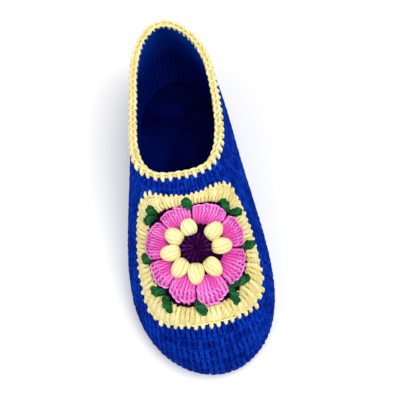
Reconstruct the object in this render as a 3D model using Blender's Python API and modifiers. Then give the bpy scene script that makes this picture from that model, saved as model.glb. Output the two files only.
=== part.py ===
"""Crochet slipper for a right foot: sole, hollow upper, flower square set in the vamp, and collar edging.

Metres, +Z up. The toe points along -Y and the big-toe side is +X. The origin is on the floor, under the
middle of the slipper's box.
"""

import math
from collections import namedtuple

import bmesh
import bpy
import numpy as np

# Driving sizes of the last
LENGTH = 0.245
BALL_WIDTH = 0.093
HEEL_HEIGHT = 0.074
INSTEP_HEIGHT = 0.083

# The hooked fabric
WALL = 0.003
SOLE_THICKNESS = 0.0045
SOLE_EDGE_ROUND = 0.0012
GAP = 0.0003
EDGING_RADIUS = 0.0028
EDGING_GAP = 0.0010

# How far the sole leaves the floor, with places as shares of the length
ARCH_LIFT = 0.002
ARCH_FROM, ARCH_TO = 0.27, 0.60
TOE_SPRING = 0.005
TOE_SPRING_FROM = 0.84
SOLE_SPINE_FROM, SOLE_SPINE_TO = 0.13, 0.82

# Counts of facets
AROUND = 60
UP_THE_WALL = 15
SOLE_RINGS = 5
SQUARE_STEPS = 64
PANEL_RINGS = 6
BORDER_RINGS = 2

# One rib of the last, from the sole's edge to the collar, is a cubic curve. Places along the foot are shares
# of the length, widths are shares of the ball width, and rise runs from heel height (0) to instep height (1).
# The handles that give each rib its belly are in metres.
Rib = namedtuple("Rib", "at inner outer collar_at collar_inner collar_outer rise "
                        "low_out low_forward low_up high_out high_forward high_down")
RIBS = (
    Rib(0.020, 0.000, 0.000, 0.015, 0.000, 0.000, 0.10, 0.000, -0.009, 0.028, 0.000, -0.005, 0.024),
    Rib(0.140, 0.305, 0.330, 0.120, 0.265, 0.230, 0.35, 0.006, -0.001, 0.025, 0.002, 0.000, 0.022),
    Rib(0.425, 0.390, 0.380, 0.285, 0.330, 0.305, 0.20, 0.008, 0.000, 0.025, 0.003, 0.004, 0.021),
    Rib(0.700, 0.485, 0.510, 0.465, 0.285, 0.325, 0.45, 0.008, 0.000, 0.023, 0.004, 0.014, 0.018),
    Rib(0.900, 0.380, 0.360, 0.535, 0.130, 0.155, 0.95, 0.006, 0.005, 0.026, 0.006, 0.041, 0.008),
    Rib(0.980, 0.025, -0.025, 0.540, 0.000, 0.000, 1.00, 0.000, 0.008, 0.030, 0.000, 0.051, 0.004),
)
TOE_RIB_U = 0.5

# The flower square lies on a sheet: p runs to the big-toe side, q up to the throat, h away from the vamp
SQUARE_FROM_THROAT = 0.0445
SQUARE_HALF_P, SQUARE_HALF_Q = 0.0455, 0.0440
SQUARE_SQUARENESS = 8.0
ROW_SQUEEZE = 0.93
REAR_CROWDING = 0.19
SIDE_TAPER, SIDE_BARREL = 0.15, 0.20
FRONT_BOW, REAR_BOW = 0.0025, 0.0110
GROUND_HALF = 0.0350
GROUND_SQUARENESS = 3.2
BORDER_PROUD = 0.0012
CUT_BEYOND = 0.005
FLOWER_LIFT = 0.0005

DISC_RADIUS = 0.0100
DISC_HEIGHT = 0.0020

PUFF_ANGLES_DEG = (35, 98, 140, 184, 225, 261, 299, 351)
PUFF_RING = 0.0157
PUFF_HALF_LENGTH, PUFF_HALF_WIDTH = 0.0049, 0.0043
PUFF_HEIGHT = 0.0062

# Each petal lies between two notches of the ring
PETAL_NOTCHES_DEG = (-15, 34, 87, 134, 192, 227, 260, 300)
PETAL_GAP_DEG = 2.0
PETAL_INNER, PETAL_OUTER = 0.0210, 0.0335
PETAL_HEIGHT = 0.0050

# Leaves with their middles and headings on the sheet: one at each side of the square, two at each corner
Leaf = namedtuple("Leaf", "p q heading_deg")
LEAF_HALF_LENGTH, LEAF_HALF_WIDTH = 0.0045, 0.0022
LEAF_HEIGHT = 0.0036
LEAVES = (
    Leaf(0.0375, -0.0090, -5),
    Leaf(0.0365, 0.0165, -20),
    Leaf(0.0265, 0.0270, 90),
    Leaf(-0.0020, 0.0385, 105),
    Leaf(-0.0295, 0.0310, 150),
    Leaf(-0.0315, 0.0230, 205),
    Leaf(-0.0375, -0.0040, 160),
    Leaf(-0.0310, -0.0245, 175),
    Leaf(-0.0240, -0.0335, 280),
    Leaf(-0.0020, -0.0375, 300),
    Leaf(0.0190, -0.0365, 290),
    Leaf(0.0280, -0.0275, 0),
)

# The sheet is worked out on a grid of the last
SHEET_HALF_P = 0.054
SHEET_LENGTH = 0.110
SHEET_U_FROM, SHEET_U_TO = 0.20, 0.80
SHEET_STEPS = 81
SPINE_SAMPLES = 400
BISECTIONS = 40

# Yarn colours as linear red, green and blue
ROYAL_BLUE = (0.006, 0.034, 0.402)
PRIMROSE = (0.880, 0.815, 0.385)
CANDY_PINK = (0.838, 0.141, 0.610)
LEAF_GREEN = (0.010, 0.110, 0.034)
AUBERGINE = (0.027, 0.003, 0.048)
YARN_ROUGHNESS = 0.85


def closed_spline(rows, u):
    """Smooth closed curve through rows, which it reaches at even shares u of one turn."""
    count = len(rows)
    each = np.eye(count)
    system = 4 * each + np.roll(each, 1, axis=1) + np.roll(each, -1, axis=1)
    slopes = np.linalg.solve(system, 3 * (np.roll(rows, -1, axis=0) - np.roll(rows, 1, axis=0)))
    place = u * count
    start = np.floor(place).astype(int)
    t = (place - start)[..., None]
    first, second = start % count, (start + 1) % count
    return ((1 + 2 * t) * (1 - t) ** 2 * rows[first] + t * (1 - t) ** 2 * slopes[first]
            + t * t * (3 - 2 * t) * rows[second] + t * t * (t - 1) * slopes[second])


def measured_line(line, places, zero=0):
    """Points of a polyline at distances along it, counted from its point number zero."""
    run = np.concatenate([[0], np.cumsum(np.linalg.norm(np.diff(line, axis=0), axis=1))])
    return np.stack([np.interp(places, run - run[zero], line[:, k]) for k in range(3)], axis=1)


def unit(vectors):
    return vectors / np.linalg.norm(vectors, axis=-1, keepdims=True)


class Last:
    """The foot form: a rib on each side of every section, and a smooth closed curve through the ribs."""

    def __init__(self):
        outer = [self.rib_row(rib, -1) for rib in RIBS]
        inner = [self.rib_row(rib, 1) for rib in RIBS[1:-1]]
        self.rows = np.array(outer + inner[::-1])
        self.heel_y = 0.0
        u, v = np.meshgrid(np.arange(AROUND) / AROUND, np.linspace(0, 1, UP_THE_WALL + 1))
        points = self.face(u, v)
        middle = (points.min(axis=(0, 1)) + points.max(axis=(0, 1))) / 2
        self.rows[:, 0::3] -= middle[0]
        self.rows[:, 1::3] -= middle[1]
        self.heel_y = -middle[1]

    @staticmethod
    def rib_row(rib, side):
        """Four control points of a rib in one row; the lower two have their height above the sole."""
        width = side * (rib.inner if side > 0 else rib.outer) * BALL_WIDTH
        collar = side * (rib.collar_inner if side > 0 else rib.collar_outer) * BALL_WIDTH
        at, collar_at = rib.at * LENGTH, rib.collar_at * LENGTH
        collar_z = HEEL_HEIGHT + rib.rise * (INSTEP_HEIGHT - HEEL_HEIGHT)
        return [
            width, -at, 0,
            width + side * rib.low_out, -at - rib.low_forward, rib.low_up,
            collar + side * rib.high_out, -collar_at - rib.high_forward, collar_z - rib.high_down,
            collar, -collar_at, collar_z,
        ]

    def y_at(self, share):
        """Place along the foot for a share of the length from the heel."""
        return self.heel_y - share * LENGTH

    def sole_top(self, y):
        """Height of the sole's upper face: flat heel, low arch, flat ball, toe spring."""
        at = (self.heel_y - y) / LENGTH
        arch = np.clip((at - ARCH_FROM) / (ARCH_TO - ARCH_FROM), 0, 1)
        toe = np.clip((at - TOE_SPRING_FROM) / (1 - TOE_SPRING_FROM), 0, 1)
        return SOLE_THICKNESS + ARCH_LIFT * np.sin(math.pi * arch) ** 2 + TOE_SPRING * toe ** 2

    def controls(self, u):
        """Rib curves at shares u of the way round, from the heel by the little-toe side."""
        controls = closed_spline(self.rows, u).reshape(*u.shape, 4, 3)
        foot = self.sole_top(controls[..., 0, 1]) + GAP
        controls[..., 0, 2] += foot
        controls[..., 1, 2] += foot
        return controls

    def face(self, u, v):
        """Outer face of the upper: v goes up each rib from the sole's edge to the collar."""
        c0, c1, c2, c3 = np.moveaxis(self.controls(u), -2, 0)
        v = v[..., None]
        return (1 - v) ** 3 * c0 + 3 * v * (1 - v) ** 2 * c1 + 3 * v * v * (1 - v) * c2 + v ** 3 * c3

    def sole_edge(self, u):
        return self.controls(u)[..., 0, :]

    def edging_line(self, u):
        """Middle of the collar edging: over the middle of the wall, a tube's radius beyond its rim."""
        controls = self.controls(u)
        up = unit(controls[..., 3, :] - controls[..., 2, :])
        along = np.roll(controls[..., 3, :], -1, axis=0) - np.roll(controls[..., 3, :], 1, axis=0)
        out = unit(np.cross(along, up))
        return controls[..., 3, :] + up * (EDGING_RADIUS + EDGING_GAP) - out * WALL / 2


class VampSheet:
    """The vamp as a flat sheet of cloth: straight rows across the foot, measured along the surface."""

    def __init__(self, last):
        self.last = last
        self.p = np.linspace(-SHEET_HALF_P, SHEET_HALF_P, SHEET_STEPS)
        rib = last.face(np.full(SPINE_SAMPLES, TOE_RIB_U), np.linspace(1, 0, SPINE_SAMPLES))
        spine = measured_line(rib, np.linspace(0, SHEET_LENGTH, SHEET_STEPS))
        forward = unit(np.gradient(spine, axis=0))
        self.points = np.stack([self.row(*pair) for pair in zip(spine, forward)], axis=1)
        across, down = np.gradient(self.points, axis=(0, 1))
        self.normals = unit(np.cross(down, across))

    def row(self, centre, forward):
        """One row across the foot: where each rib meets the plane square to the spine."""
        u = np.linspace(SHEET_U_FROM, SHEET_U_TO, SHEET_STEPS)
        low, high = np.zeros(SHEET_STEPS), np.ones(SHEET_STEPS)
        for _ in range(BISECTIONS):
            middle = (low + high) / 2
            ahead = (self.last.face(u, middle) - centre) @ forward > 0
            low = np.where(ahead, middle, low)
            high = np.where(ahead, high, middle)
        return measured_line(self.last.face(u, low), self.p, zero=SHEET_STEPS // 2)

    def place(self, p, q, h):
        """World points at p and q from the middle of the flower, h proud of the vamp.

        The square is drawn to the foot: its rows crowd towards the throat and bow back at both ends, and its
        sides draw in towards the throat and bulge at the middle.
        """
        rear = q / SQUARE_HALF_Q
        bow = FRONT_BOW + (REAR_BOW - FRONT_BOW) * (rear + 1) / 2
        q = ROW_SQUEEZE * (q - REAR_CROWDING * q * rear) + bow * (p / SQUARE_HALF_P) ** 2
        p = p * (1 - SIDE_TAPER * rear - SIDE_BARREL * rear ** 2)
        i = np.clip((p / SHEET_HALF_P + 1) / 2, 0, 1) * (SHEET_STEPS - 1)
        j = np.clip((SQUARE_FROM_THROAT - q) / SHEET_LENGTH, 0, 1) * (SHEET_STEPS - 1)
        i0, j0 = (np.minimum(k.astype(int), SHEET_STEPS - 2) for k in (i, j))
        a, b = (i - i0)[..., None], (j - j0)[..., None]

        def between(table):
            near = (1 - a) * table[i0, j0] + a * table[i0 + 1, j0]
            far = (1 - a) * table[i0, j0 + 1] + a * table[i0 + 1, j0 + 1]
            return (1 - b) * near + b * far

        return between(self.points) + h[..., None] * between(self.normals)


def clear_scene():
    for obj in list(bpy.data.objects):
        bpy.data.objects.remove(obj, do_unlink=True)


def collection(name):
    made = bpy.data.collections.new(name)
    bpy.context.scene.collection.children.link(made)
    return made


def yarn(name, colour):
    made = bpy.data.materials.new(name)
    made.use_nodes = True
    made.diffuse_color = (*colour, 1)
    shader = made.node_tree.nodes["Principled BSDF"]
    shader.inputs["Base Color"].default_value = (*colour, 1)
    shader.inputs["Roughness"].default_value = YARN_ROUGHNESS
    shader.inputs["Metallic"].default_value = 0
    return made


class Slipper:
    """The collection, the empty that carries the pieces, and the yarns."""

    def __init__(self):
        self.parts = collection("crochet_slipper")
        self.cutters = collection("cutters")
        self.origin = bpy.data.objects.new("slipper_origin", None)
        self.parts.objects.link(self.origin)
        self.blue = yarn("blue_yarn", ROYAL_BLUE)
        self.yellow = yarn("yellow_yarn", PRIMROSE)
        self.pink = yarn("pink_yarn", CANDY_PINK)
        self.green = yarn("green_yarn", LEAF_GREEN)
        self.purple = yarn("purple_yarn", AUBERGINE)

    def add(self, name, data, material):
        obj = bpy.data.objects.new(name, data)
        self.parts.objects.link(obj)
        obj.parent = self.origin
        data.materials.append(material)
        return obj

    def add_cutter(self, name, mesh):
        obj = bpy.data.objects.new(name, mesh)
        self.cutters.objects.link(obj)
        obj.display_type = "WIRE"
        obj.hide_render = True
        return obj


def finished_mesh(name, bm):
    bmesh.ops.remove_doubles(bm, verts=bm.verts, dist=1e-6)
    mesh = bpy.data.meshes.new(name)
    bm.to_mesh(mesh)
    bm.free()
    mesh.shade_smooth()
    return mesh


def bent_grid(name, columns, rows, place):
    """A flat grid carried to place(u, v), each from 0 to 1, with edges that land on each other joined."""
    bm = bmesh.new()
    bmesh.ops.create_grid(bm, x_segments=columns, y_segments=rows, size=0.5)
    flat = np.array([vert.co for vert in bm.verts]) + 0.5
    for vert, point in zip(bm.verts, place(flat[:, 0], flat[:, 1])):
        vert.co = point
    return finished_mesh(name, bm)


def bent_ball(name, segments, rings, place):
    """A ball carried to place(a, b, c), where a, b and c are its coordinates from -1 to 1."""
    bm = bmesh.new()
    bmesh.ops.create_uvsphere(bm, u_segments=segments, v_segments=rings, radius=1)
    ball = np.array([vert.co for vert in bm.verts])
    for vert, point in zip(bm.verts, place(*ball.T)):
        vert.co = point
    return finished_mesh(name, bm)


def thicken(obj, thickness):
    """Gives an open surface its wall, on the side away from its normals."""
    wall = obj.modifiers.new("wall", "SOLIDIFY")
    wall.thickness = thickness
    wall.offset = -1
    wall.use_even_offset = True


def squircle(angle, half_p, half_q, squareness):
    """Point of a rounded square's outline in the direction of angle."""
    c, s = np.cos(angle), np.sin(angle)
    reach = (np.abs(c / half_p) ** squareness + np.abs(s / half_q) ** squareness) ** (-1 / squareness)
    return np.stack([reach * c, reach * s])


def square_outline(angle, grow=0.0):
    return squircle(angle, SQUARE_HALF_P + grow, SQUARE_HALF_Q + grow, SQUARE_SQUARENESS)


def ground_outline(angle, grow=0.0):
    return squircle(angle, GROUND_HALF + grow, GROUND_HALF + grow, GROUND_SQUARENESS)


def slab_on_sheet(name, sheet, inner, outer, low, high, rings):
    """A slab of the sheet from height low to high, between two outlines or, with no inner one, whole."""
    steps = 2 * rings + (2 if inner else 1)

    def place(u, v):
        angle = -2 * math.pi * u
        step = np.rint(v * steps)
        over = step <= rings
        share = np.clip(np.where(over, step, 2 * rings + 1 - step) / rings, 0, 1)
        height = np.where(over | (step > 2 * rings + 1), high, low)
        start = inner(angle) if inner else np.zeros((2, len(u)))
        p, q = start + share * (outer(angle) - start)
        return sheet.place(p, q, height)

    return bent_grid(name, SQUARE_STEPS, steps, place)


def fuller(x, power=0.6):
    """Pushes a ball's coordinate outwards, for a squarer pillow."""
    return np.sign(x) * np.abs(x) ** power


def height_from(low, tall, c):
    """Heights of a pillow that lies at low."""
    return low + (c + 1) / 2 * tall


def make_sole(slipper, last):
    """Spokes run out from the sole's middle line to its edge, so that the outline keeps its waist."""
    def place(u, inwards):
        share = 1 - inwards
        edge = last.sole_edge(u)
        towards_toe = (1 - np.cos(2 * math.pi * u)) / 2
        spine_y = last.y_at(SOLE_SPINE_FROM + (SOLE_SPINE_TO - SOLE_SPINE_FROM) * towards_toe)
        y = spine_y + (edge[:, 1] - spine_y) * share
        return np.stack([edge[:, 0] * share, y, last.sole_top(y)], axis=1)

    sole = slipper.add("sole", bent_grid("sole", AROUND, SOLE_RINGS, place), slipper.blue)
    thicken(sole, SOLE_THICKNESS)
    edge = sole.modifiers.new("edge", "BEVEL")
    edge.width = SOLE_EDGE_ROUND
    edge.segments = 2
    edge.limit_method = "ANGLE"
    edge.angle_limit = math.radians(50)


def make_upper(slipper, last, sheet):
    """The wall round the foot, with a window for the flower square."""
    upper = slipper.add("upper", bent_grid("upper", AROUND, UP_THE_WALL, last.face), slipper.blue)
    thicken(upper, WALL)
    window = slab_on_sheet("square_window", sheet, None, lambda angle: square_outline(angle, GAP),
                           -WALL - CUT_BEYOND, CUT_BEYOND, PANEL_RINGS)
    cut = upper.modifiers.new("square_window", "BOOLEAN")
    cut.operation = "DIFFERENCE"
    cut.object = slipper.add_cutter("square_window", window)


def make_square(slipper, sheet):
    """The yellow frame and the dark ground that it holds."""
    border = slab_on_sheet("square_border", sheet, ground_outline, square_outline,
                           -WALL, BORDER_PROUD, BORDER_RINGS)
    slipper.add("square_border", border, slipper.yellow)
    panel = slab_on_sheet("vamp_panel", sheet, None, lambda angle: ground_outline(angle, -GAP),
                          -WALL, 0, PANEL_RINGS)
    slipper.add("vamp_panel", panel, slipper.purple)


def make_collar_edging(slipper, last):
    curve = bpy.data.curves.new("collar_edging", "CURVE")
    curve.dimensions = "3D"
    curve.bevel_depth = EDGING_RADIUS
    curve.bevel_resolution = 2
    line = curve.splines.new("POLY")
    line.points.add(AROUND - 1)
    for point, place in zip(line.points, last.edging_line(np.arange(AROUND) / AROUND)):
        point.co = (*place, 1)
    line.use_cyclic_u = True
    slipper.add("collar_edging", curve, slipper.yellow)


def make_flower(slipper, sheet):
    """Round middle, ring of puffs and ring of petals."""
    def disc(a, b, c):
        return sheet.place(a * DISC_RADIUS, b * DISC_RADIUS, height_from(FLOWER_LIFT, DISC_HEIGHT, c))

    slipper.add("flower_centre", bent_ball("flower_centre", 16, 6, disc), slipper.purple)

    for number, degrees in enumerate(PUFF_ANGLES_DEG, 1):
        c0, s0 = math.cos(math.radians(degrees)), math.sin(math.radians(degrees))

        def puff(a, b, c):
            reach = PUFF_RING + PUFF_HALF_LENGTH * a
            aside = PUFF_HALF_WIDTH * b
            return sheet.place(reach * c0 - aside * s0, reach * s0 + aside * c0,
                               height_from(FLOWER_LIFT, PUFF_HEIGHT, c))

        slipper.add(f"puff_{number}", bent_ball(f"puff_{number}", 10, 6, puff), slipper.yellow)

    ends = PETAL_NOTCHES_DEG[1:] + (PETAL_NOTCHES_DEG[0] + 360,)
    for number, (start, end) in enumerate(zip(PETAL_NOTCHES_DEG, ends), 1):
        middle, half = (start + end) / 2, (end - start) / 2 - PETAL_GAP_DEG

        def petal(a, b, c):
            reach = (PETAL_INNER + PETAL_OUTER) / 2 + (PETAL_OUTER - PETAL_INNER) / 2 * fuller(a)
            angle = np.radians(middle + half * fuller(b))
            return sheet.place(reach * np.cos(angle), reach * np.sin(angle),
                               height_from(FLOWER_LIFT, PETAL_HEIGHT, c))

        slipper.add(f"petal_{number}", bent_ball(f"petal_{number}", 12, 6, petal), slipper.pink)


def make_leaves(slipper, sheet):
    for number, place in enumerate(LEAVES, 1):
        c0, s0 = math.cos(math.radians(place.heading_deg)), math.sin(math.radians(place.heading_deg))

        def leaf(a, b, c):
            reach, aside = LEAF_HALF_LENGTH * a, LEAF_HALF_WIDTH * b
            return sheet.place(place.p + reach * c0 - aside * s0, place.q + reach * s0 + aside * c0,
                               height_from(BORDER_PROUD + FLOWER_LIFT, LEAF_HEIGHT, c))

        slipper.add(f"leaf_{number}", bent_ball(f"leaf_{number}", 8, 6, leaf), slipper.green)


def main():
    clear_scene()
    slipper = Slipper()
    last = Last()
    sheet = VampSheet(last)
    make_sole(slipper, last)
    make_upper(slipper, last, sheet)
    make_square(slipper, sheet)
    make_collar_edging(slipper, last)
    make_flower(slipper, sheet)
    make_leaves(slipper, sheet)


main()
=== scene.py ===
"""Crochet slipper for a right foot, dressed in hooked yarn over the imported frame.

Metres, +Z up, in the frame's own axes: the toe points along -Y and the big-toe side is +X. Every stitch is
made of short closed tubes of yarn that follow a curve on the foot's surface, so the fabric is real geometry.
The plies and the fuzz of the yarn are bump and colour in its material.
"""

import logging
import math
from collections.abc import Iterable, Iterator
from dataclasses import dataclass, field, fields, replace
from enum import Enum

import bpy
import numpy as np
from mathutils import Matrix, Vector


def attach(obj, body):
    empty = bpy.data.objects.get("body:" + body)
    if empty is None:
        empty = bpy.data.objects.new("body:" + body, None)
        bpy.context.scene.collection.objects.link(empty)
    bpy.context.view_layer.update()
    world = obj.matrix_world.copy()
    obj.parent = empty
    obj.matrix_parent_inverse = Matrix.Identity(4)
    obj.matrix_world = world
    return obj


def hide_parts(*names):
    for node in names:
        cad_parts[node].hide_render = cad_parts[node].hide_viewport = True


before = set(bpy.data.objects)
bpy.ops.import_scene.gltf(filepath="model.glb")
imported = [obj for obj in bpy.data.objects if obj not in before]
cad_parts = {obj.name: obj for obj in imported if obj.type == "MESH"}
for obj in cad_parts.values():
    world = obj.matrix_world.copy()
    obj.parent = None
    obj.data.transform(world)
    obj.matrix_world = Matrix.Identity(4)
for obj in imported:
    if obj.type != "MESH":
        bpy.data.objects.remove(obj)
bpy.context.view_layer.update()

Array = np.ndarray
Colour = tuple[float, float, float]
Place = tuple[float, float, float]
Handles = tuple[float, float, float, float]

BODY = "root"
SEED = 11
MM = 0.001
TURN = 2 * math.pi

# Points by which a curve is measured along its run
FINE = 2001

# Length of one turn of the yarn's twist, and the power of the sine by which a strand swells
TWIST_PITCH = 3.6 * MM
SWELL_POWER = 0.8

# Painted shade on every strand: its lightness near its ends, underneath and at the very ends, where shade
# falls, against that of its open middle, with the share of a strand that the ends take and the powers by
# which the painted shade falls along and round it
TUCKED_SHADE = 0.6
UNDER_SHADE = 0.22
POLE_SHADE = 0.2
END_SHARE = 0.06
ALONG_POWER = 0.6
ROUND_POWER = 0.8

log = logging.getLogger("slipper")


def unit(vectors: Array) -> Array:
    """Vectors of length one in the same directions."""
    return vectors / np.linalg.norm(vectors, axis=-1, keepdims=True)


def ring(count: int, start: float = 0.0) -> Array:
    """Shares of the way round of evenly spaced places, the first by start of a space along."""
    return (np.arange(count) + start) / count


def grid(first: Array, second: Array) -> tuple[Array, ...]:
    """Both parameters at all nodes of a grid, with the first along the first axis."""
    return tuple(np.meshgrid(first, second, indexing="ij"))


def spans(edges: Array) -> tuple[Array, Array]:
    """Middles and widths of the spaces between edges."""
    return (edges[1:] + edges[:-1]) / 2, np.diff(edges)


def run_along(points: Array) -> Array:
    """Distance of each point of a polyline from its start, along the second last axis."""
    steps = np.linalg.norm(np.diff(points, axis=-2), axis=-1)
    return np.concatenate([np.zeros_like(steps[..., :1]), np.cumsum(steps, axis=-1)], axis=-1)


def even_edges(points: Array, places: Array, count: int) -> Array:
    """Parameters, both ends included, that cut a polyline with the given ones into count equal lengths."""
    run = run_along(points)
    return np.interp(np.linspace(0, run[-1], count + 1), run, places)


def cubic(handles: Handles, t: Array) -> Array:
    """A cubic curve through its first and last handle, pulled towards the two between."""
    a, b, c, d = handles
    return (1 - t) ** 3 * a + 3 * t * (1 - t) ** 2 * b + 3 * t * t * (1 - t) * c + t ** 3 * d


def bilinear(table: Array, i: Array, j: Array, cyclic: bool = False) -> Array:
    """Values between the nodes of a table.

    Args:
        table: Values on a grid, with any further axes.
        i: Places along the first axis, in nodes.
        j: Places along the second axis, in nodes.
        cyclic: Whether the first axis closes on itself.

    Returns:
        The weighted mean of the four nodes round each place.
    """
    rows, columns = table.shape[:2]
    i = np.mod(i, rows) if cyclic else np.clip(i, 0, rows - 1)
    j = np.clip(j, 0, columns - 1)
    i0 = np.minimum(np.floor(i).astype(int), rows - 1 if cyclic else rows - 2)
    j0 = np.minimum(np.floor(j).astype(int), columns - 2)
    i1 = (i0 + 1) % rows
    a, b = (i - i0)[..., None], (j - j0)[..., None]
    near = (1 - a) * table[i0, j0] + a * table[i1, j0]
    far = (1 - a) * table[i0, j0 + 1] + a * table[i1, j0 + 1]
    return (1 - b) * near + b * far


@dataclass
class Surface:
    """A mesh as whole arrays.

    Attributes:
        points: Places of the vertices.
        quads: Four vertices of each quad.
        triangles: Three vertices of each triangle.
        yarn: Place of each vertex along its yarn, in turns of the twist, and share of the way round it.
        tone: Lightness of the yarn at each vertex, from 0 to 1, painted shade included.
    """

    points: Array
    quads: Array
    triangles: Array
    yarn: Array
    tone: Array

    @staticmethod
    def joined(parts: Iterable["Surface"]) -> "Surface":
        """Puts many surfaces into one.

        Args:
            parts: The surfaces.

        Returns:
            One surface that holds them all, with the vertex numbers of each moved past those before it.
        """
        moved, start = [], 0
        for part in parts:
            moved.append(replace(part, quads=part.quads + start, triangles=part.triangles + start))
            start += len(part.points)
        names = [item.name for item in fields(Surface)]
        return Surface(*(np.concatenate([getattr(part, name) for part in moved]) for name in names))

    def count(self) -> int:
        """Number of triangles, with each quad as two."""
        return 2 * len(self.quads) + len(self.triangles)

    def outward(self) -> "Surface":
        """Turns the faces of a closed surface outwards if the volume that they enclose is negative.

        Returns:
            The surface itself.
        """
        a, b, c, d = np.moveaxis(self.points[self.quads], 1, 0)
        volume = np.einsum("ij,ij->", a, np.cross(b, c)) + np.einsum("ij,ij->", a, np.cross(c, d))
        if volume < 0:
            self.quads = self.quads[:, ::-1]
            self.triangles = self.triangles[:, ::-1]
        return self

    def mesh(self, name: str) -> bpy.types.Mesh:
        """Makes a smooth mesh with the yarn's places as its UV map and its tone as a point attribute.

        Args:
            name: The mesh's name.

        Returns:
            The mesh.
        """
        mesh = bpy.data.meshes.new(name)
        mesh.from_pydata(self.points.tolist(), [], self.quads.tolist() + self.triangles.tolist())
        corners = np.empty(len(mesh.loops), dtype=np.int32)
        mesh.loops.foreach_get("vertex_index", corners)
        places = self.yarn[corners].astype(np.float32).ravel()
        mesh.uv_layers.new(name="yarn").uv.foreach_set("vector", places)
        mesh.attributes.new("tone", "FLOAT", "POINT").data.foreach_set("value", self.tone.astype(np.float32))
        mesh.shade_smooth()
        mesh.update()
        return mesh


def tubes(paths: Array, normals: Array, radii: Array, tones: Array,
          sides: int = 6, flat: float = 1.0) -> Surface:
    """Closed tubes of yarn along many paths at once.

    Each path point carries a ring square to the path: its points stand a radius away, by the cosine of their
    angle along the side direction and by the sine, times flat, along the normal. The ring's seam lies
    underneath, and each end closes in a pole half a radius beyond the last ring. The tone carries painted
    shade: it falls off round the ring towards the underside and along the tube towards its ends, where the
    yarn goes into the fabric and shade falls.

    Args:
        paths: Points of each path, as strands by steps by 3.
        normals: Directions away from the fabric at those points.
        radii: Radius at each step.
        tones: Lightness of each strand, which may also vary along it.
        sides: Facets round the ring.
        flat: Height of the ring against its width.

    Returns:
        All tubes as one surface.
    """
    count, steps = paths.shape[:2]
    forward = unit(np.gradient(paths, axis=1))
    side = unit(np.cross(forward, normals))
    up = np.cross(side, forward)
    angle = TURN * ring(sides, 0.5) - math.pi / 2
    away = np.cos(angle)[:, None] * side[:, :, None] + flat * np.sin(angle)[:, None] * up[:, :, None]
    body = (paths[:, :, None] + radii[:, :, None, None] * away).reshape(count, steps * sides, 3)
    before = paths[:, 0] - forward[:, 0] * radii[:, :1] / 2
    beyond = paths[:, -1] + forward[:, -1] * radii[:, -1:] / 2
    size = steps * sides + 2
    start = (np.arange(count) * size)[:, None, None]
    index = np.arange(steps * sides).reshape(steps, sides)
    after = np.roll(index, -1, axis=1)
    quads = np.stack([index[:-1], index[1:], after[1:], after[:-1]], axis=-1).reshape(-1, 4)
    first = np.stack([np.full(sides, size - 2), index[0], after[0]], axis=-1)
    last = np.stack([np.full(sides, size - 1), after[-1], index[-1]], axis=-1)
    along = np.repeat(run_along(paths) / TWIST_PITCH, sides, axis=1)
    yarn = np.stack([along, np.tile(ring(sides, 0.5), (count, steps))], axis=-1)
    # Painted shade: lighter in the open middle and on top, darker towards the ends and underneath
    middle = np.sin(math.pi * np.linspace(END_SHARE, 1 - END_SHARE, steps)) ** ALONG_POWER
    top = (0.5 + 0.5 * np.sin(angle)) ** ROUND_POWER
    shade = (TUCKED_SHADE + (1 - TUCKED_SHADE) * middle)[:, None] * (UNDER_SHADE + (1 - UNDER_SHADE) * top)
    light = np.broadcast_to(tones.reshape(count, -1), (count, steps))
    tone = [np.repeat(light, sides, axis=1) * shade.ravel(), POLE_SHADE * light[:, [0, -1]]]
    return Surface(
        np.concatenate([body, np.stack([before, beyond], axis=1)], axis=1).reshape(-1, 3),
        (quads + start).reshape(-1, 4),
        (np.concatenate([first, last]) + start).reshape(-1, 3),
        np.concatenate([yarn, yarn[:, [0, -1]]], axis=1).reshape(-1, 2),
        np.concatenate(tone, axis=1).ravel(),
    )


def slab(top: Array, bottom: Array, tone: float, bottom_tone: float | Array | None = None,
         cyclic: bool = True) -> Surface:
    """A closed slab between two grids of points.

    The loop across the top and back along the bottom is carried along the first axis, which closes on itself
    if it is cyclic and is capped at both ends if not.

    Args:
        top: Points of the upper face.
        bottom: Points of the lower face, in the same order.
        tone: Lightness of the slab's yarn.
        bottom_tone: Lightness of the lower face, if it differs.
        cyclic: Whether the first axis closes on itself.

    Returns:
        The slab, with its faces outwards.
    """
    loop = np.concatenate([top, bottom[:, ::-1]], axis=1)
    index = np.arange(loop.shape[0] * loop.shape[1]).reshape(loop.shape[:2])
    here, there = (index, np.roll(index, -1, axis=0)) if cyclic else (index[:-1], index[1:])
    corners = [here, there, np.roll(there, -1, axis=1), np.roll(here, -1, axis=1)]
    quads = [np.stack(corners, axis=-1).reshape(-1, 4)]
    if not cyclic:
        half = top.shape[1]
        for end, way in ((index[0], 1), (index[-1], -1)):
            near, far = end[:half], end[half:][::-1]
            quads.append(np.stack([near[:-1], near[1:], far[1:], far[:-1]], axis=-1)[:, ::way])
    points = loop.reshape(-1, 3)
    under = np.broadcast_to(tone if bottom_tone is None else bottom_tone, bottom.shape[:2])
    tones = np.concatenate([np.full(top.shape[:2], tone), under[:, ::-1]], axis=1).ravel()
    no_triangles, no_twist = np.zeros((0, 3), dtype=int), np.zeros((len(points), 2))
    return Surface(points, np.concatenate(quads), no_triangles, no_twist, tones).outward()


@dataclass(frozen=True)
class Rib:
    """One rib of the last, a cubic curve from the sole's edge to the collar.

    Places along the foot are shares of the length, widths are shares of the ball width, rise runs from heel
    height (0) to instep height (1), and the handles that give the rib its belly are in metres.
    """

    at: float
    inner: float
    outer: float
    collar_at: float
    collar_inner: float
    collar_outer: float
    rise: float
    low_out: float
    low_forward: float
    low_up: float
    high_out: float
    high_forward: float
    high_down: float


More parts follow.
